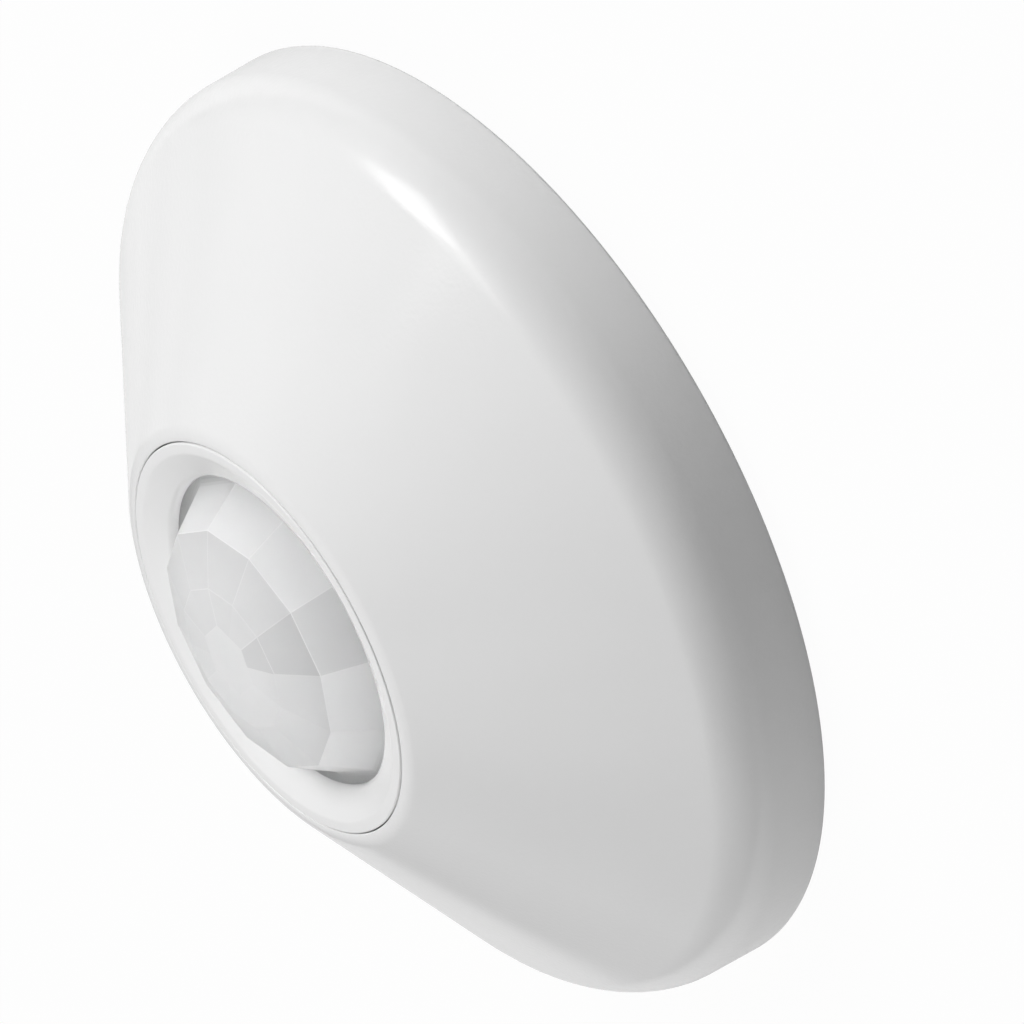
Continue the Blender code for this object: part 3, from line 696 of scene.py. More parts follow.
def shown(sheet, sockets, **settings):
    """Close a material with one shader."""
    shader = sheet.node("ShaderNodeBsdfPrincipled", settings, sockets)
    sheet.node("ShaderNodeOutputMaterial", {}, {"Surface": shader})


def moulded_plastic(name, low, high, roughness, grain_size, grain_height):
    """Moulded plastic with a faint cloud in its colour, uneven gloss and a fine moulded grain."""
    material, sheet = new_sheet(name)
    place = object_place(sheet)
    cloud = noise(sheet, place, PLASTIC_CLOUDS)
    grain = noise(sheet, place, 1 / grain_size, detail=1)
    normal = sheet.node("ShaderNodeBump", {}, {"Strength": 1, "Distance": grain_height, "Height": grain})
    shown(sheet, {
        "Base Color": mix_colours(sheet, cloud, low, high),
        "Roughness": roughness + swing(cloud, 0.08) + swing(grain, 0.03),
        "IOR": 1.5, "Normal": normal})
    return material


def milky_lens():
    """Cloudy lens plastic that spreads light widely, each facet and seam in its own tone, which carries
    painted light and shade.
    """
    material, sheet = new_sheet("milky_lens")
    tone = sheet.node("ShaderNodeAttribute", {"attribute_name": "tone"}, {}, out="Fac")
    cloud = noise(sheet, object_place(sheet), LENS_CLOUDS)
    shown(sheet, {
        "Base Color": mix_colours(sheet, tone + swing(cloud, 0.04), grey(0), grey(1)),
        "Roughness": 0.5 + swing(cloud, 0.1),
        "IOR": 1.52, "Subsurface Weight": 1, "Subsurface Radius": (1, 1, 1), "Subsurface Scale": LENS_SPREAD,
    }, subsurface_method="BURLEY")
    return material


def bright_metal(name, low, high, roughness):
    """Plated metal with faint stains and fine wear in its gloss."""
    material, sheet = new_sheet(name)
    place = object_place(sheet)
    stain = noise(sheet, place, METAL_STAINS)
    wear = noise(sheet, place, METAL_WEAR, detail=3)
    normal = sheet.node("ShaderNodeBump", {}, {"Strength": 0.4, "Distance": METAL_WEAR_DEPTH, "Height": wear})
    shown(sheet, {
        "Base Color": mix_colours(sheet, stain, low, high),
        "Roughness": roughness + swing(stain, 0.12) + swing(wear, 0.1),
        "Metallic": 1, "Normal": normal})
    return material


def board_laminate():
    """Green mask over copper runs, with pale laminate at the cut edges."""
    material, sheet = new_sheet("board_laminate")
    place = object_place(sheet)
    x = sheet.node("ShaderNodeSeparateXYZ", {}, {0: place})
    y = other_output(x, "Y")
    patch = {"Vector": place, "Scale": RUN_FIELDS}
    field = sheet.node("ShaderNodeTexVoronoi", {"distance": "MANHATTAN"}, patch, out="Color")
    pick = sheet.node("ShaderNodeSeparateColor", {}, {0: field})
    bare = other_output(pick, "Green") > 1 - RUN_BARE_SHARE
    lengthwise = x.math("PINGPONG", x, RUN_PITCH / 2) < RUN_WIDTH / 2
    crosswise = y.math("PINGPONG", y, RUN_PITCH / 2) < RUN_WIDTH / 2
    turn = pick > 0.5
    runs = (turn * lengthwise + (1 - turn) * crosswise) * (1 - bare)
    cloud = noise(sheet, place, BOARD_CLOUDS)
    mask = mix_colours(sheet, runs, MASK_GREEN, RUN_GREEN)
    facing_out = sheet.node("ShaderNodeNewGeometry", {}, {}, out="Normal")
    rise = sheet.node("ShaderNodeSeparateXYZ", {}, {0: facing_out}, out="Z")
    broad = rise.math("ABSOLUTE", rise) > 0.5
    normal = sheet.node("ShaderNodeBump", {}, {"Strength": 1, "Distance": RUN_HEIGHT, "Height": runs})
    shown(sheet, {
        "Base Color": mix_colours(sheet, broad, LAMINATE, mask),
        "Roughness": 0.62 - broad * 0.3 + swing(cloud, 0.1),
        "IOR": 1.5, "Normal": normal})
    return material


def detector_filter():
    """The dark coated filter of the detector, with the uneven tint of its coating."""
    material, sheet = new_sheet("detector_filter")
    cloud = noise(sheet, object_place(sheet), FILTER_CLOUDS)
    shown(sheet, {
        "Base Color": mix_colours(sheet, cloud, FILTER_DARK, FILTER_TINT),
        "Roughness": 0.08 + cloud * 0.06,
        "IOR": 2.2, "Coat Weight": 0.5})
    return material


def lamp_resin():
    """Tinted clear resin with a faint cloud in it."""
    material, sheet = new_sheet("lamp_resin")
    cloud = noise(sheet, object_place(sheet), RESIN_CLOUDS)
    shown(sheet, {
        "Base Color": mix_colours(sheet, cloud, RESIN_DEEP, RESIN_PALE),
        "Roughness": 0.1 + cloud * 0.08,
        "IOR": 1.55, "Transmission Weight": 0.4})
    return material


def can_sleeve(name, place, stripe_turn):
    """Shrunk sleeve with a pale stripe down the side of its minus leg."""
    material, sheet = new_sheet(name)
    spot = sheet.node("ShaderNodeMapping", {}, {
        "Vector": object_place(sheet), "Location": (-place[0], -place[1], 0)})
    x = sheet.node("ShaderNodeSeparateXYZ", {}, {0: spot})
    angle = x.math("ARCTAN2", other_output(x, "Y"), x) - stripe_turn
    stripe = angle.math("ABSOLUTE", angle) < STRIPE_SPAN / 2
    cloud = noise(sheet, spot, SLEEVE_CLOUDS)
    blue = mix_colours(sheet, cloud, SLEEVE_DEEP, SLEEVE_BLUE)
    shown(sheet, {
        "Base Color": mix_colours(sheet, stripe, blue, STRIPE_PALE),
        "Roughness": 0.3 + cloud * 0.15,
        "IOR": 1.5})
    return material


white_plastic = moulded_plastic("cover_white", grey(0.80), grey(0.82), 0.19, 0.0006, 0.000015)
ring_plastic = moulded_plastic("ring_white", grey(0.82), grey(0.84), 0.22, 0.0005, 0.000003)
plate_plastic = moulded_plastic("plate_white", grey(0.76), grey(0.79), 0.42, 0.0003, 0.00001)
black_plastic = moulded_plastic("package_black", grey(0.018), grey(0.026), 0.5, 0.00008, 0.000008)
relay_plastic = moulded_plastic("relay_black", grey(0.015), grey(0.02), 0.35, 0.0002, 0.000006)
terminal_plastic = moulded_plastic("terminal_green", TERMINAL_DEEP, TERMINAL_GREEN, 0.4, 0.0002, 0.000008)
steel = bright_metal("plated_steel", grey(0.55), grey(0.66), 0.28)
tin = bright_metal("solder_tin", grey(0.5), grey(0.62), 0.38)


# Front cover

def cover_corners():
    """The cover's profile: the roof over the mouth and the cone, the skirt, then the inside."""
    shoulder_height = SKIRT_LIFT + SKIRT_HEIGHT
    shoulder_radius = COVER_RADIUS - SKIRT_HEIGHT * math.tan(SKIRT_DRAFT)
    rim_radius = mouth_radius + MOUTH_LAND
    slope = (COVER_TOP - shoulder_height) / (shoulder_radius - rim_radius)
    cone = math.atan(slope)
    under_radius = rim_radius - COVER_WALL * math.sin(cone)
    under_height = COVER_TOP - COVER_WALL * math.cos(cone)
    edge_radius = COVER_RADIUS - COVER_WALL
    draft = math.tan(SKIRT_DRAFT)
    edge_roof = under_height - (edge_radius - under_radius) * slope
    inner_rise = (edge_roof - SKIRT_LIFT) / (1 - slope * draft)
    neck_roof = under_height - (neck_radius - under_radius) * slope
    return [
        (mouth_radius, COVER_TOP, MOUTH_EDGE_ROUND),
        (rim_radius, COVER_TOP, MOUTH_ROUND),
        (shoulder_radius, shoulder_height, SHOULDER_ROUND),
        (COVER_RADIUS, SKIRT_LIFT, SKIRT_EDGE_ROUND),
        (edge_radius, SKIRT_LIFT, SKIRT_EDGE_ROUND / 2),
        (edge_radius - inner_rise * draft, SKIRT_LIFT + inner_rise, SHOULDER_ROUND - COVER_WALL),
        (neck_radius, neck_roof, 0),
        (neck_radius, ledge_top - LEDGE_HEIGHT, 0),
        (mouth_radius - LEDGE_WIDTH, ledge_top - LEDGE_HEIGHT, 0),
        (mouth_radius - LEDGE_WIDTH, ledge_top, 0),
        (mouth_radius, ledge_top, 0),
    ]


cover = turned("cover_shell", cover_corners(), WIDE_TURN, capped=False)
lug = sector(
    "lug", lug_inside, skirt_inside(lug_low) + EMBED, lug_low, lug_high, -LUG_SPAN / 2, LUG_SPAN / 2)
for turn in hook_turns:
    join(cover, copy(lug, "lug_copy", turn))
bpy.data.objects.remove(lug)
settle(cover, "cover", "front_cover", white_plastic)


# Trim ring and lens retainer

lip_radius = mouth_radius - RING_REVEAL
ring = turned("trim_ring_turned", [
    (RING_RADIUS - RING_LIP_WIDTH, RING_LIP_TOP, RING_DISH_ROUND),
    (lip_radius, RING_LIP_TOP, RING_LIP_ROUND),
    (lip_radius, RING_LIP_TOP - RING_LIP_DEPTH, 0),
    (RING_RADIUS, RING_LIP_TOP - RING_LIP_DEPTH - RING_REVEAL, 0),
    (RING_RADIUS, RING_BOTTOM, 0),
    (ring_bore, RING_BOTTOM, 0),
    (ring_bore, lens_foot + SEAT_GAP, 0),
    (ring_bore - RING_SEAT_WIDTH, lens_foot + SEAT_GAP, 0),
    (ring_bore - RING_SEAT_WIDTH, RING_CORE_TOP, 0),
    (THROAT_RADIUS, THROAT_HEIGHT - THROAT_LIP, 0),
    (THROAT_RADIUS, THROAT_HEIGHT, THROAT_ROUND),
], WIDE_TURN, capped=False)
settle(ring, "lens_ring", "trim_ring", ring_plastic)

retainer = turned("retainer_ring", [
    (ring_bore - SEAT_GAP, RING_BOTTOM + RETAINER_HEIGHT, RETAINER_ROUND),
    (ring_bore - SEAT_GAP, RING_BOTTOM, RETAINER_ROUND),
    (LENS_FOOT_RADIUS - RETAINER_LAP, RING_BOTTOM, RETAINER_ROUND),
    (LENS_FOOT_RADIUS - RETAINER_LAP, RING_BOTTOM + RETAINER_HEIGHT, RETAINER_ROUND),
], WIDE_TURN, capped=False)
settle(retainer, "lens_ring", "lens_retainer", plate_plastic)


# Lens

def lens_dome():
    """The faceted dome, grown up from its flange, filleted at the foot, seamed, given tones of painted light
    and shade, and given its wall.
    """
    last = (ring_bore - SEAT_GAP, lens_foot)
    obj = new_shape(
        "lens_dome", bpy.ops.mesh.primitive_circle_add,
        vertices=LENS_FACETS, radius=last[0], fill_type="NOTHING", location=(0, 0, lens_foot))
    foot = LENS_FOOT_RADIUS + LENS_FOOT_FLARE
    tiers = [
        (foot, lens_foot),
        (LENS_MIDDLE_RADIUS, LENS_TOP - LENS_MIDDLE_DROP),
        (LENS_INNER_RADIUS, LENS_TOP - LENS_INNER_DROP),
        (LENS_CAP_RADIUS, LENS_TOP),
    ]
    facet = 2 * math.pi / LENS_FACETS

    def flat_of_cap(vertex):
        """The points of the cap that lie in the middle of a hexagon's side."""
        spot = vertex.co
        return spot.z > LENS_TOP - SAME_PLACE and round(math.atan2(spot.x, spot.y) / facet) % 2

    def at_foot(edge):
        """The edges where the side facets meet the flange."""
        return all(
            abs(vertex.co.xy.length - foot) < SAME_PLACE and vertex.co.z < lens_foot + SAME_PLACE
            for vertex in edge.verts)

    def seamed(edge):
        """The edges between two facets, without those that hardly fold and the fillet."""
        if len(edge.link_faces) < 2 or edge.calc_face_angle() < LENS_FOLD:
            return False
        return max(vertex.co.z for vertex in edge.verts) > lens_foot + LENS_FILLET

    def tone(face):
        """How pale a face is painted: paler on the side as painted light that fades into painted shade down
        the fillet, paler in a seam as a painted highlight, swinging paler and darker round the lens as
        painted light, and darker in one wedge as painted shade.
        """
        spot = face.calc_center_median()
        level = LENS_TONE
        # Painted light: the side facets are painted paler, and this fades down the fillet to the plain tone,
        # a painted shade at the foot.
        if spot.z < LENS_TOP - LENS_MIDDLE_DROP + LENS_SEAM:
            level += (LENS_SIDE_GLOW_TONE - LENS_TONE) * min((spot.z - lens_foot) / LENS_FILLET, 1)
        narrow = face.calc_area() < 2 * LENS_SEAM * face.calc_perimeter()
        # A seam is painted paler, a painted highlight along the facet edge.
        if narrow:
            return level + LENS_SEAM_HIGHLIGHT
        wedge = int(math.atan2(spot.x, spot.y) / facet % LENS_FACETS)
        # Painted light: paler towards one wedge and darker opposite it.
        level *= 1 + LENS_GLOW_SWING * math.cos((wedge - LENS_PALEST_WEDGE) * facet)
        # Painted shade: one wedge is painted darker.
        return level * LENS_WEDGE_SHADE if wedge == LENS_SHADED_WEDGE else level

    with editing(obj, first="SELECT"):
        for tier in tiers:
            grow_loop(last, tier)
            last = tier
        bpy.ops.mesh.edge_face_add()
        bpy.ops.mesh.select_mode(type="VERT")
        select(obj, "verts", flat_of_cap)
        pull = math.cos(facet)
        bpy.ops.transform.resize(value=(pull, pull, 1), center_override=(0, 0, LENS_TOP))
        bpy.ops.mesh.select_all(action="SELECT")
        bpy.ops.mesh.normals_make_consistent(inside=False)
    if obj.data.polygons[-1].normal.z < 0:
        with editing(obj, first="SELECT"):
            bpy.ops.mesh.flip_normals()
    with editing(obj):
        select(obj, "edges", at_foot)
        bpy.ops.mesh.bevel(offset=LENS_FILLET, segments=LENS_FILLET_STEPS, clamp_overlap=False)
        select(obj, "edges", seamed)
        bpy.ops.mesh.bevel(offset=LENS_SEAM, segments=1, clamp_overlap=False)
        mesh = bmesh.from_edit_mesh(obj.data)
        tones = mesh.faces.layers.float.new("tone")
        for face in mesh.faces:
            face[tones] = tone(face)
        bmesh.update_edit_mesh(obj.data)
    apply(obj, "SOLIDIFY", thickness=LENS_WALL, offset=-1, use_even_offset=True)
    return obj


settle(lens_dome(), "lens_ring", "fresnel_lens", milky_lens(), angle=0)


# Mounting plate

def screw_slot(name, place, near, far):
    """A cutter for a screw's shank: a drum pulled out along Y both ways."""
    obj = drum(name, SCREW_SLOT_WIDTH / 2, -CUT_OVERRUN, PLATE_THICKNESS + CUT_OVERRUN, place)
    with editing(obj, "VERT"):
        select(obj, "verts", lambda vertex: vertex.co.y > place[1] + SAME_PLACE)
        bpy.ops.transform.translate(value=(0, far, 0))
        select(obj, "verts", lambda vertex: vertex.co.y < place[1] - SAME_PLACE)
        bpy.ops.transform.translate(value=(0, near, 0))
    return obj


def wire_hole():
    """A cutter for the wire entry, with its upright edges rounded."""
    middle = BOARD_FLAT + WIRE_HOLE_OFFSET + WIRE_HOLE_DEPTH / 2
    size = (WIRE_HOLE_WIDTH, WIRE_HOLE_DEPTH, PLATE_THICKNESS + 2 * CUT_OVERRUN)
    obj = block("wire_hole", size, (0, middle), -CUT_OVERRUN)
    with editing(obj):
        select(obj, "edges", upright)
        bpy.ops.mesh.bevel(offset=WIRE_HOLE_ROUND, segments=WIRE_HOLE_STEPS)
    return obj


def bayonet_hook():
    """One hook at angle zero: its wall, its lip and the stop at its closed end."""
    root = PLATE_THICKNESS - EMBED
    half = HOOK_SPAN / 2
    stop_end = -LUG_SPAN / 2 - gap_angle
    hook = sector("hook", hook_inside, hook_outside, root, lip_high, -half, half)
    join(hook, sector(
        "hook_lip", hook_outside - EMBED, lip_outside, lip_low, lip_high - SEAT_GAP,
        gap_angle - half, half - gap_angle))
    join(hook, sector(
        "hook_stop", hook_outside - EMBED, plate_radius - SEAT_GAP, root, lip_low + EMBED,
        2 * gap_angle - half, stop_end))
    return hook


def mounting_plate():
    plate = turned("plate_moulded", [
        (plate_radius, PLATE_THICKNESS, PLATE_EDGE),
        (plate_radius, 0, PLATE_EDGE),
    ], WIDE_TURN)
    root = PLATE_THICKNESS - EMBED
    far_stop = LUG_SPAN / 2 + TWIST + gap_angle
    hook = bayonet_hook()
    end_stop = sector(
        "end_stop", hook_outside - EMBED, plate_radius - SEAT_GAP, root, lug_high,
        far_stop, far_stop + END_STOP_SPAN)
    for turn in hook_turns:
        join(plate, copy(hook, "hook_copy", turn))
        join(plate, copy(end_stop, "end_stop_copy", turn))
    bpy.data.objects.remove(hook)
    bpy.data.objects.remove(end_stop)
    for place in post_places:
        join(plate, drum("post", POST_RADIUS, root, board_back - SEAT_GAP, place))
        pilot_bottom = part_seat - SCREW_LENGTH - SEAT_GAP
        sink(plate, SCREW_RADIUS + SEAT_GAP, pilot_bottom, board_back, place)
    for side in (1, -1):
        screw = (side * BOX_SCREW_SPACING / 2, 0)
        head = (screw[0], -side * KEYHOLE_HEAD_OFFSET)
        ends = sorted((side * SCREW_SLOT_REACH, -side * KEYHOLE_HEAD_OFFSET))
        cut(plate, screw_slot("keyhole_slot", screw, *ends))
        sink(plate, KEYHOLE_HEAD_RADIUS, -CUT_OVERRUN, PLATE_THICKNESS, head)
        gang = (0, side * GANG_SCREW_SPACING / 2)
        cut(plate, screw_slot("gang_slot", gang, -SCREW_SLOT_REACH / 2, SCREW_SLOT_REACH / 2))
    cut(plate, wire_hole())
    return plate


settle(mounting_plate(), "base", "mounting_plate", plate_plastic)


# Circuit board and its screws

def board_blank():
    board = turned("board_blank", [
        (BOARD_RADIUS, board_front, 0),
        (BOARD_RADIUS, board_back, 0),
    ], WIDE_TURN)
    slice_off(board, Vector((0, 1, 0)), BOARD_FLAT)
    for place in post_places:
        sink(board, SCREW_RADIUS + SEAT_GAP, board_back - CUT_OVERRUN, board_front, place)
    return board


def drive_slot(obj, radius, top):
    """Cut a driver slot across the top of a screw that stands on the axis."""
    size = (2 * radius + CUT_OVERRUN, SCREW_DRIVE_WIDTH, 2 * SCREW_DRIVE_DEPTH)
    cut(obj, block("drive", size, (0, 0), top - SCREW_DRIVE_DEPTH))


def settle_screws(screw, name, node, places):
    """Put a copy of a screw at each place, in place of the nodes numbered from 1, and clear the screw."""
    for i, place in enumerate(places, 1):
        settle(copy(screw, f"{name}_{i}", place=place), "base", f"{node}_{i}", steel)
    bpy.data.objects.remove(screw)


def board_screw():
    """A screw on the axis: rounded head, then a shank ringed like a thread."""
    head_top = part_seat + SCREW_HEAD_HEIGHT
    tip = part_seat - SCREW_LENGTH
    corners = [
        (SCREW_HEAD_RADIUS, head_top, SCREW_HEAD_ROUND),
        (SCREW_HEAD_RADIUS, part_seat, FINE_EDGE),
    ]
    turns = int(SCREW_LENGTH / THREAD_PITCH)
    for i in range(turns):
        crest = part_seat - THREAD_PITCH * (i + 0.5)
        corners.append((SCREW_RADIUS - THREAD_DEPTH, crest + THREAD_PITCH / 2, 0))
        corners.append((SCREW_RADIUS, crest, 0))
    corners.append((SCREW_RADIUS - 2 * THREAD_DEPTH, tip, 0))
    screw = turned("board_screw", corners)
    drive_slot(screw, SCREW_HEAD_RADIUS, head_top)
    return screw


settle(board_blank(), "base", "circuit_board", board_laminate())
settle_screws(board_screw(), "board_screw_slotted", "board_screw", post_places)


# Legs and solder of the parts that go through the board

def leg_places():
    """Where the legs of the through-hole parts are."""
    places = list(pole_places)
    for dx in (-1, 1):
        places.append((LED_PLACE[0] + dx * LED_LEG_SPREAD, LED_PLACE[1]))
        places.append((filter_place[0] + dx * FILTER_CAPACITOR_RADIUS * CAPACITOR_LEG_SHARE, filter_place[1]))
        places.append((supply_place[0] + dx * SUPPLY_CAPACITOR_RADIUS * CAPACITOR_LEG_SHARE, supply_place[1]))
        for dy in (-1, 1):
            places.append((
                SWITCH_PLACE[0] + dx * SWITCH_LEG_SPREAD, SWITCH_PLACE[1] + dy * SWITCH_LEG_SPREAD))
            places.append((
                relay_place[0] + dx * (RELAY_SIZE[0] / 2 - RELAY_LEG_INSET[0]),
                relay_place[1] + dy * (RELAY_SIZE[1] / 2 - RELAY_LEG_INSET[1])))
    return places + [polar(CAN_LEG_RING, math.pi / 2 * i) for i in range(CAN_LEGS)]


leg = turned("leg", [
    (LEG_RADIUS, part_seat + SEAT_GAP, 0),
    (LEG_RADIUS, board_back - SOLDER_HOLLOW, 0),
    (SOLDER_RADIUS, board_back, 0),
    (SOLDER_RADIUS * SOLDER_WAIST[0], board_back - SOLDER_HEIGHT * SOLDER_WAIST[1], 0),
    (LEG_RADIUS * SOLDER_TIP, board_back - SOLDER_HEIGHT, FINE_EDGE),
], sides=LEG_SIDES)
legs = gather(
    "soldered_legs", [copy(leg, f"leg_{i}", place=place) for i, place in enumerate(leg_places())])
bpy.data.objects.remove(leg)
settle(legs, "base", "circuit_board", tin)


# Infrared detector

spacer = turned("detector_spacer", [
    (SPACER_RADIUS, part_seat + SPACER_HEIGHT, FINE_EDGE * 2),
    (SPACER_RADIUS, part_seat, FINE_EDGE * 2),
])
settle(spacer, "base", "pyro_spacer", black_plastic)


def detector_can():
    """A capped can with its flange, the key on the flange and the pocket of the window."""
    shoulder = can_seat + CAN_FLANGE_HEIGHT
    can = turned("detector_can", [
        (CAN_RADIUS, can_top, CAN_EDGE_ROUND),
        (CAN_RADIUS, shoulder, FINE_EDGE),
        (CAN_FLANGE_RADIUS, shoulder, FINE_EDGE),
        (CAN_FLANGE_RADIUS, can_seat, FINE_EDGE),
    ])
    key_size = (CAN_KEY_SIDE * 2, CAN_KEY_SIDE, CAN_FLANGE_HEIGHT - FINE_EDGE * 2)
    key = block("can_key", key_size, (CAN_FLANGE_RADIUS - CAN_KEY_SIDE / 2, 0), can_seat + FINE_EDGE)
    join(can, copy(key, "can_key_turned", turn=CAN_KEY_TURN))
    bpy.data.objects.remove(key)
    pocket = (
        WINDOW_LENGTH + 2 * SEAT_GAP,
        WINDOW_WIDTH + 2 * SEAT_GAP,
        WINDOW_HEIGHT + SEAT_GAP + CUT_OVERRUN)
    cut(can, block("window_pocket", pocket, (0, 0), can_top - WINDOW_HEIGHT - SEAT_GAP))
    return can


settle(detector_can(), "base", "pyro_can", steel)
window_size = (WINDOW_LENGTH, WINDOW_WIDTH, WINDOW_HEIGHT)
window = block("detector_window", window_size, (0, 0), can_top - WINDOW_HEIGHT, edge=FINE_EDGE)
settle(window, "base", "pyro_window", detector_filter())


# Indicator

def indicator():
    """A domed lamp whose flange has one flat side."""
    flange_top = part_seat + LED_FLANGE_HEIGHT
    lamp = turned("indicator_lamp", [
        (LED_RADIUS, part_seat + LED_HEIGHT, LED_DOME_ROUND),
        (LED_RADIUS, flange_top, 0),
        (LED_FLANGE_RADIUS, flange_top, FINE_EDGE),
        (LED_FLANGE_RADIUS, part_seat, FINE_EDGE),
    ])
    slice_off(lamp, Vector((1, 0, 0)), LED_FLAT)
    return move(lamp, LED_PLACE)


settle(indicator(), "base", "indicator_led", lamp_resin())


# Program switch and its button

stem_bottom = switch_top - BUTTON_STEM_DEPTH
# Radius, bottom and top of the hole that the button's stem runs in
stem_hole = (BUTTON_STEM_RADIUS + SEAT_GAP, stem_bottom - BUTTON_TRAVEL - SEAT_GAP, switch_top)

case_size = (SWITCH_SIDE, SWITCH_SIDE, SWITCH_HEIGHT - SWITCH_LID)
switch_case = block("switch_case", case_size, SWITCH_PLACE, part_seat, edge=SWITCH_EDGE)
sink(switch_case, *stem_hole, SWITCH_PLACE)
settle(switch_case, "base", "switch_body", black_plastic)

lid_side = SWITCH_SIDE - 2 * SWITCH_LID_INSET
switch_lid = block(
    "switch_lid", (lid_side, lid_side, SWITCH_LID), SWITCH_PLACE, switch_top - SWITCH_LID, edge=FINE_EDGE)
sink(switch_lid, *stem_hole, SWITCH_PLACE)
rivet_spread = SWITCH_SIDE / 2 - SWITCH_RIVET_INSET
for dx in (-rivet_spread, rivet_spread):
    for dy in (-rivet_spread, rivet_spread):
        spot = (SWITCH_PLACE[0] + dx, SWITCH_PLACE[1] + dy)
        sink(switch_lid, SWITCH_RIVET_RADIUS, switch_top - FINE_EDGE, switch_top, spot)
settle(switch_lid, "base", "switch_body", steel)

cap_bottom = switch_top + BUTTON_TRAVEL + SEAT_GAP
cap_top = cap_bottom + BUTTON_CAP_HEIGHT
button = turned("button_cap", [
    (BUTTON_DISH_RADIUS - BUTTON_DISH_DEPTH, cap_top - BUTTON_DISH_DEPTH, FINE_EDGE),
    (BUTTON_DISH_RADIUS, cap_top, FINE_EDGE),
    (BUTTON_CAP_RADIUS, cap_top, BUTTON_CAP_ROUND),
    (BUTTON_CAP_RADIUS, cap_bottom, FINE_EDGE),
    (BUTTON_STEM_RADIUS, cap_bottom, 0),
    (BUTTON_STEM_RADIUS, stem_bottom, FINE_EDGE),
])
settle(move(button, SWITCH_PLACE), "program_button", "program_button", plate_plastic)


# Wire terminals

def terminals():
    """The block with a clamp well and a wire socket for each pole, and a groove between two poles."""
    size = (POLES * POLE_PITCH + 2 * TERMINAL_END_WALL, TERMINAL_DEPTH, TERMINAL_HEIGHT)
    obj = block("terminal_housing", size, (0, terminal_middle), part_seat, edge=TERMINAL_ROUND)
    well_bottom = terminal_top - CLAMP_SCREW_SINK - CLAMP_SCREW_HEIGHT - SEAT_GAP
    socket = (WIRE_SOCKET_SIDE, WIRE_SOCKET_DEPTH + CUT_OVERRUN, WIRE_SOCKET_SIDE)
    socket_middle = terminal_face + (CUT_OVERRUN - WIRE_SOCKET_DEPTH) / 2
    for x, y in pole_places:
        sink(obj, CLAMP_SCREW_RADIUS + SEAT_GAP, well_bottom, terminal_top, (x, y))
        cut(obj, block("socket", socket, (x, socket_middle), part_seat + WIRE_SOCKET_LIFT))
    groove = (TERMINAL_GROOVE, TERMINAL_GROOVE * 2, TERMINAL_HEIGHT + 2 * CUT_OVERRUN)
    for x, y in pole_places[1:]:
        cut(obj, block("groove", groove, (x - POLE_PITCH / 2, terminal_face), part_seat - CUT_OVERRUN))
    return obj


settle(terminals(), "base", "terminal_block", terminal_plastic)
clamp_top = terminal_top - CLAMP_SCREW_SINK
clamp = turned("clamp_screw", [
    (CLAMP_SCREW_RADIUS, clamp_top, FINE_EDGE * 2),
    (CLAMP_SCREW_RADIUS, clamp_top - CLAMP_SCREW_HEIGHT, FINE_EDGE * 2),
])
drive_slot(clamp, CLAMP_SCREW_RADIUS, clamp_top)
settle_screws(clamp, "clamp_screw", "terminal_screw", pole_places)


# Relay

def relay_case():
    """A base with the cover that stands on it, a sunk panel in its top."""
    base_size = (RELAY_SIZE[0], RELAY_SIZE[1], RELAY_BASE)
    obj = block("relay_case", base_size, relay_place, part_seat)
    with editing(obj, "FACE"):
        select(obj, "faces", facing(2, 1))
        bpy.ops.mesh.inset(thickness=RELAY_STEP)
        bpy.ops.mesh.extrude_region_move(
            TRANSFORM_OT_translate={"value": (0, 0, RELAY_SIZE[2] - RELAY_BASE)})
        bpy.ops.mesh.inset(thickness=RELAY_PANEL_INSET)
        bpy.ops.transform.translate(value=(0, 0, -RELAY_PANEL_DEPTH))
    apply(obj, "BEVEL", width=RELAY_EDGE, segments=RELAY_EDGE_STEPS, limit_method="ANGLE", angle_limit=CREASE)
    return obj


settle(relay_case(), "base", "relay", relay_plastic)


# Chips and the regulator

def chip_body(name, size, middle, reach):
    """A moulded body between its rows of leads, parted at mid height, with a dimple at one corner."""
    body = (size[0], size[1] - 2 * reach, size[2] - SEAT_GAP / 2)
    low = part_seat + SEAT_GAP / 2
    obj = block(name, body, middle, low)
    with editing(obj, "FACE", "SELECT"):
        bpy.ops.mesh.bisect(plane_co=(0, 0, low + body[2] / 2), plane_no=(0, 0, 1))
        for sign in (1, -1):
            select(obj, "faces", facing(2, sign))
            bpy.ops.transform.resize(value=(CHIP_DRAW, CHIP_DRAW, 1), center_override=(*middle, low))
    apply(obj, "BEVEL", width=FINE_EDGE, segments=EDGE_STEPS, limit_method="ANGLE", angle_limit=CREASE)
    corner = (middle[0] - body[0] / 2 + CHIP_DIMPLE_INSET, middle[1] - body[1] / 2 + CHIP_DIMPLE_INSET)
    sink(obj, CHIP_DIMPLE_RADIUS, low + body[2] - FINE_EDGE, low + body[2], corner)
    return obj


def gull_lead(width, reach, height):
    """One lead along +Y from the origin: out of the side, down, and out again to its foot."""
    shoulder = reach * LEAD_SHOULDER
    root = EMBED / 2
    drop = height - LEAD_THICKNESS - SEAT_GAP / 2
    size = (width, shoulder + root, LEAD_THICKNESS)
    obj = block("lead", size, (0, (shoulder - root) / 2), part_seat + drop)
    with editing(obj, "FACE"):
        select(obj, "faces", facing(1, 1))
        for step in ((0, reach * LEAD_SLOPE, -drop - SEAT_GAP), (0, reach * LEAD_FOOT, 0)):
            bpy.ops.mesh.extrude_region_move(TRANSFORM_OT_translate={"value": step})
    return obj


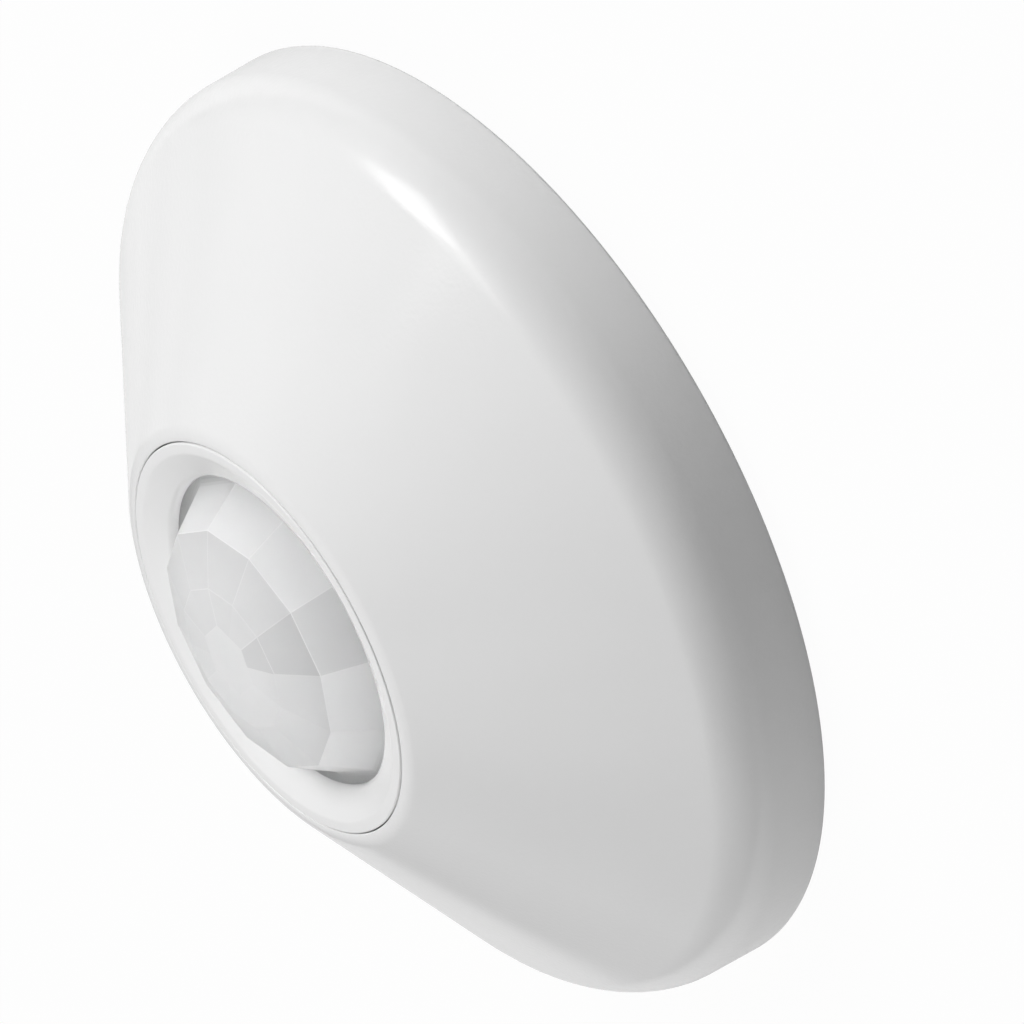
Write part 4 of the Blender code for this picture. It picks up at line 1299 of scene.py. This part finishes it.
def lead_rows(name, size, middle, reach, count, sides=(1, -1)):
    """The leads along one or both sides of a chip, as one piece."""
    pitch = size[0] / count
    lead = gull_lead(pitch * LEAD_SHARE, reach, size[2] / 2)
    leads = []
    for side in sides:
        for i in range(count):
            place = (middle[0] + (i - (count - 1) / 2) * pitch, middle[1] + side * (size[1] / 2 - reach))
            leads.append(copy(lead, f"lead_{len(leads)}", turn=0 if side > 0 else math.pi, place=place))
    bpy.data.objects.remove(lead)
    return gather(name, leads)


def chip(node, size, middle, reach, count):
    settle(chip_body(f"{node}_case", size, middle, reach), "base", node, black_plastic)
    settle(lead_rows(f"{node}_leads", size, middle, reach, count), "base", node, tin)


chip("control_chip", CONTROL_CHIP_SIZE, control_chip_place, CONTROL_CHIP_REACH, CONTROL_CHIP_LEADS)
chip("amplifier_chip", AMPLIFIER_CHIP_SIZE, amplifier_chip_place, AMPLIFIER_CHIP_REACH, AMPLIFIER_CHIP_LEADS)

regulator = chip_body("regulator_case", REGULATOR_SIZE, regulator_place, REGULATOR_REACH)
settle(regulator, "base", "voltage_regulator", black_plastic)
regulator_leads = lead_rows(
    "regulator_leads", REGULATOR_SIZE, regulator_place, REGULATOR_REACH, REGULATOR_LEADS, sides=(-1,))
settle(regulator_leads, "base", "voltage_regulator", tin)
tab_middle = (regulator_place[0], regulator_place[1] + (REGULATOR_SIZE[1] - REGULATOR_TAB[1]) / 2)
regulator_tab = block("regulator_tab", REGULATOR_TAB, tab_middle, part_seat, edge=FINE_EDGE)
settle(regulator_tab, "base", "voltage_regulator", tin)


# Capacitors

def capacitor(node, radius, height, place, stripe_turn):
    """A sleeved can with a crimp round its foot and a scored cross on its bare top."""
    top = part_seat + height
    bare = radius * CAPACITOR_SLEEVE
    crimp = part_seat + CAPACITOR_CRIMP_LIFT
    can = turned(f"{node}_can", [
        (bare, top - FINE_EDGE, 0),
        (bare, top, 0),
        (radius, top, CAPACITOR_ROUND),
        (radius, crimp + 2 * CAPACITOR_CRIMP, CAPACITOR_CRIMP),
        (radius - CAPACITOR_CRIMP, crimp, CAPACITOR_CRIMP),
        (radius, crimp - 2 * CAPACITOR_CRIMP, CAPACITOR_CRIMP),
        (radius, part_seat, FINE_EDGE),
    ])
    for size in ((2 * bare, CAPACITOR_VENT), (CAPACITOR_VENT, 2 * bare)):
        score = (*size, CAPACITOR_VENT * 2)
        cut(can, block("score", score, (0, 0), top - FINE_EDGE - CAPACITOR_VENT))
    settle(move(can, place), "base", node, can_sleeve(f"{node}_sleeve", place, stripe_turn))
    can.data.materials.append(steel)
    for face in can.data.polygons:
        reach = math.hypot(face.center.x - place[0], face.center.y - place[1])
        if face.center.z > top - 2 * CAPACITOR_VENT and reach < bare:
            face.material_index = 1


capacitor(
    "filter_capacitor", FILTER_CAPACITOR_RADIUS, FILTER_CAPACITOR_HEIGHT, filter_place, FILTER_STRIPE_TURN)
capacitor(
    "supply_capacitor", SUPPLY_CAPACITOR_RADIUS, SUPPLY_CAPACITOR_HEIGHT, supply_place, SUPPLY_STRIPE_TURN)


# Camera

back = Vector((
    math.sin(CAMERA_AZIMUTH) * math.cos(CAMERA_ELEVATION),
    -math.cos(CAMERA_AZIMUTH) * math.cos(CAMERA_ELEVATION),
    math.sin(CAMERA_ELEVATION)))
level_right = Vector((math.cos(CAMERA_AZIMUTH), math.sin(CAMERA_AZIMUTH), 0))
level_up = back.cross(level_right)
right = math.cos(CAMERA_ROLL) * level_right + math.sin(CAMERA_ROLL) * level_up
up = back.cross(right)
camera_data = bpy.data.cameras.new("camera")
camera_data.sensor_width = SENSOR
camera_data.lens = FOCAL_PIXELS / IMAGE_SIDE * SENSOR
camera = bpy.data.objects.new("camera", camera_data)
bpy.context.scene.collection.objects.link(camera)
stand = Vector((0, 0, SKIRT_LIFT)) + CAMERA_SHIFT[0] * right + CAMERA_SHIFT[1] * up + CAMERA_DISTANCE * back
camera.matrix_world = Matrix.Translation(stand) @ Matrix((right, up, back)).transposed().to_4x4()
bpy.context.scene.camera = camera


# Floor, world and lamps

def seen_directly(sheet, in_mirrors):
    """1 for rays straight from the camera or through glass, a share for mirrored rays, else 0."""
    direct = sheet.node("ShaderNodeLightPath", {}, {}, out="Is Camera Ray")
    passing = other_output(direct, "Is Transmission Ray")
    mirrored = other_output(direct, "Is Glossy Ray") * in_mirrors
    return direct.math("MAXIMUM", direct, passing.math("MAXIMUM", passing, mirrored))


def pale_floor():
    material, sheet = new_sheet("pale_floor")
    paint = sheet.node("ShaderNodeBsdfDiffuse", {}, {"Color": grey(FLOOR_PAINT)})
    white = sheet.node("ShaderNodeEmission", {}, {"Color": grey(1), "Strength": 1})
    share = seen_directly(sheet, FLOOR_IN_MIRRORS) * FLOOR_WHITE
    seen = sheet.node("ShaderNodeMixShader", {}, {0: share, 1: paint, 2: white})
    sheet.node("ShaderNodeOutputMaterial", {}, {"Surface": seen})
    return material


floor = new_shape("floor", bpy.ops.mesh.primitive_plane_add, size=FLOOR_SIDE)
floor.data.materials.append(pale_floor())

world = bpy.data.worlds.new("studio")
bpy.context.scene.world = world
world.use_nodes = True
sky = Sheet(world.node_tree)
dim = sky.node("ShaderNodeBackground", {}, {"Color": grey(1), "Strength": AMBIENT})
white = sky.node("ShaderNodeBackground", {}, {"Color": grey(1), "Strength": 1})
both = sky.node("ShaderNodeMixShader", {}, {0: seen_directly(sky, 0), 1: dim, 2: white})
sky.node("ShaderNodeOutputWorld", {}, {"Surface": both})


def soft_box(name, direction, side, watts, mirrored=False):
    """A square lamp a metre off, placed along the camera's right, up and back, mirrored in gloss or not."""
    lamp = bpy.data.lights.new(name, "AREA")
    lamp.size = side
    lamp.energy = watts
    obj = bpy.data.objects.new(name, lamp)
    bpy.context.scene.collection.objects.link(obj)
    toward = (direction[0] * right + direction[1] * up + direction[2] * back).normalized()
    obj.location = toward
    obj.rotation_euler = toward.to_track_quat("Z", "Y").to_euler()
    obj.visible_glossy = mirrored


soft_box("key_lamp", (-0.835, 0.417, 0.373), KEY_LAMP_SIDE, 1.8, mirrored=True)
soft_box("key_tail", (-0.86, 0.21, 0.5), KEY_LAMP_SIDE, 0.8, mirrored=True)
soft_box("edge_card", (-0.66, 0.125, -0.74), EDGE_CARD_SIDE, 0.1, mirrored=True)
soft_box("high_fill", (-0.76, 0.38, 0.53), FILL_LAMP_SIDE, 4.9)
soft_box("top_fill", (-0.63, 0.74, 0.26), FILL_LAMP_SIDE, 1.7)
soft_box("left_fill", (-0.58, -0.79, 0.2), FILL_LAMP_SIDE, 3.3)
soft_box("back_fill", (-0.28, -0.74, -0.62), FILL_LAMP_SIDE, 2.3)
soft_box("low_fill", (0.12, -0.99, 0.11), FILL_LAMP_SIDE, 2.1)

bpy.context.scene.view_settings.view_transform = "Standard"
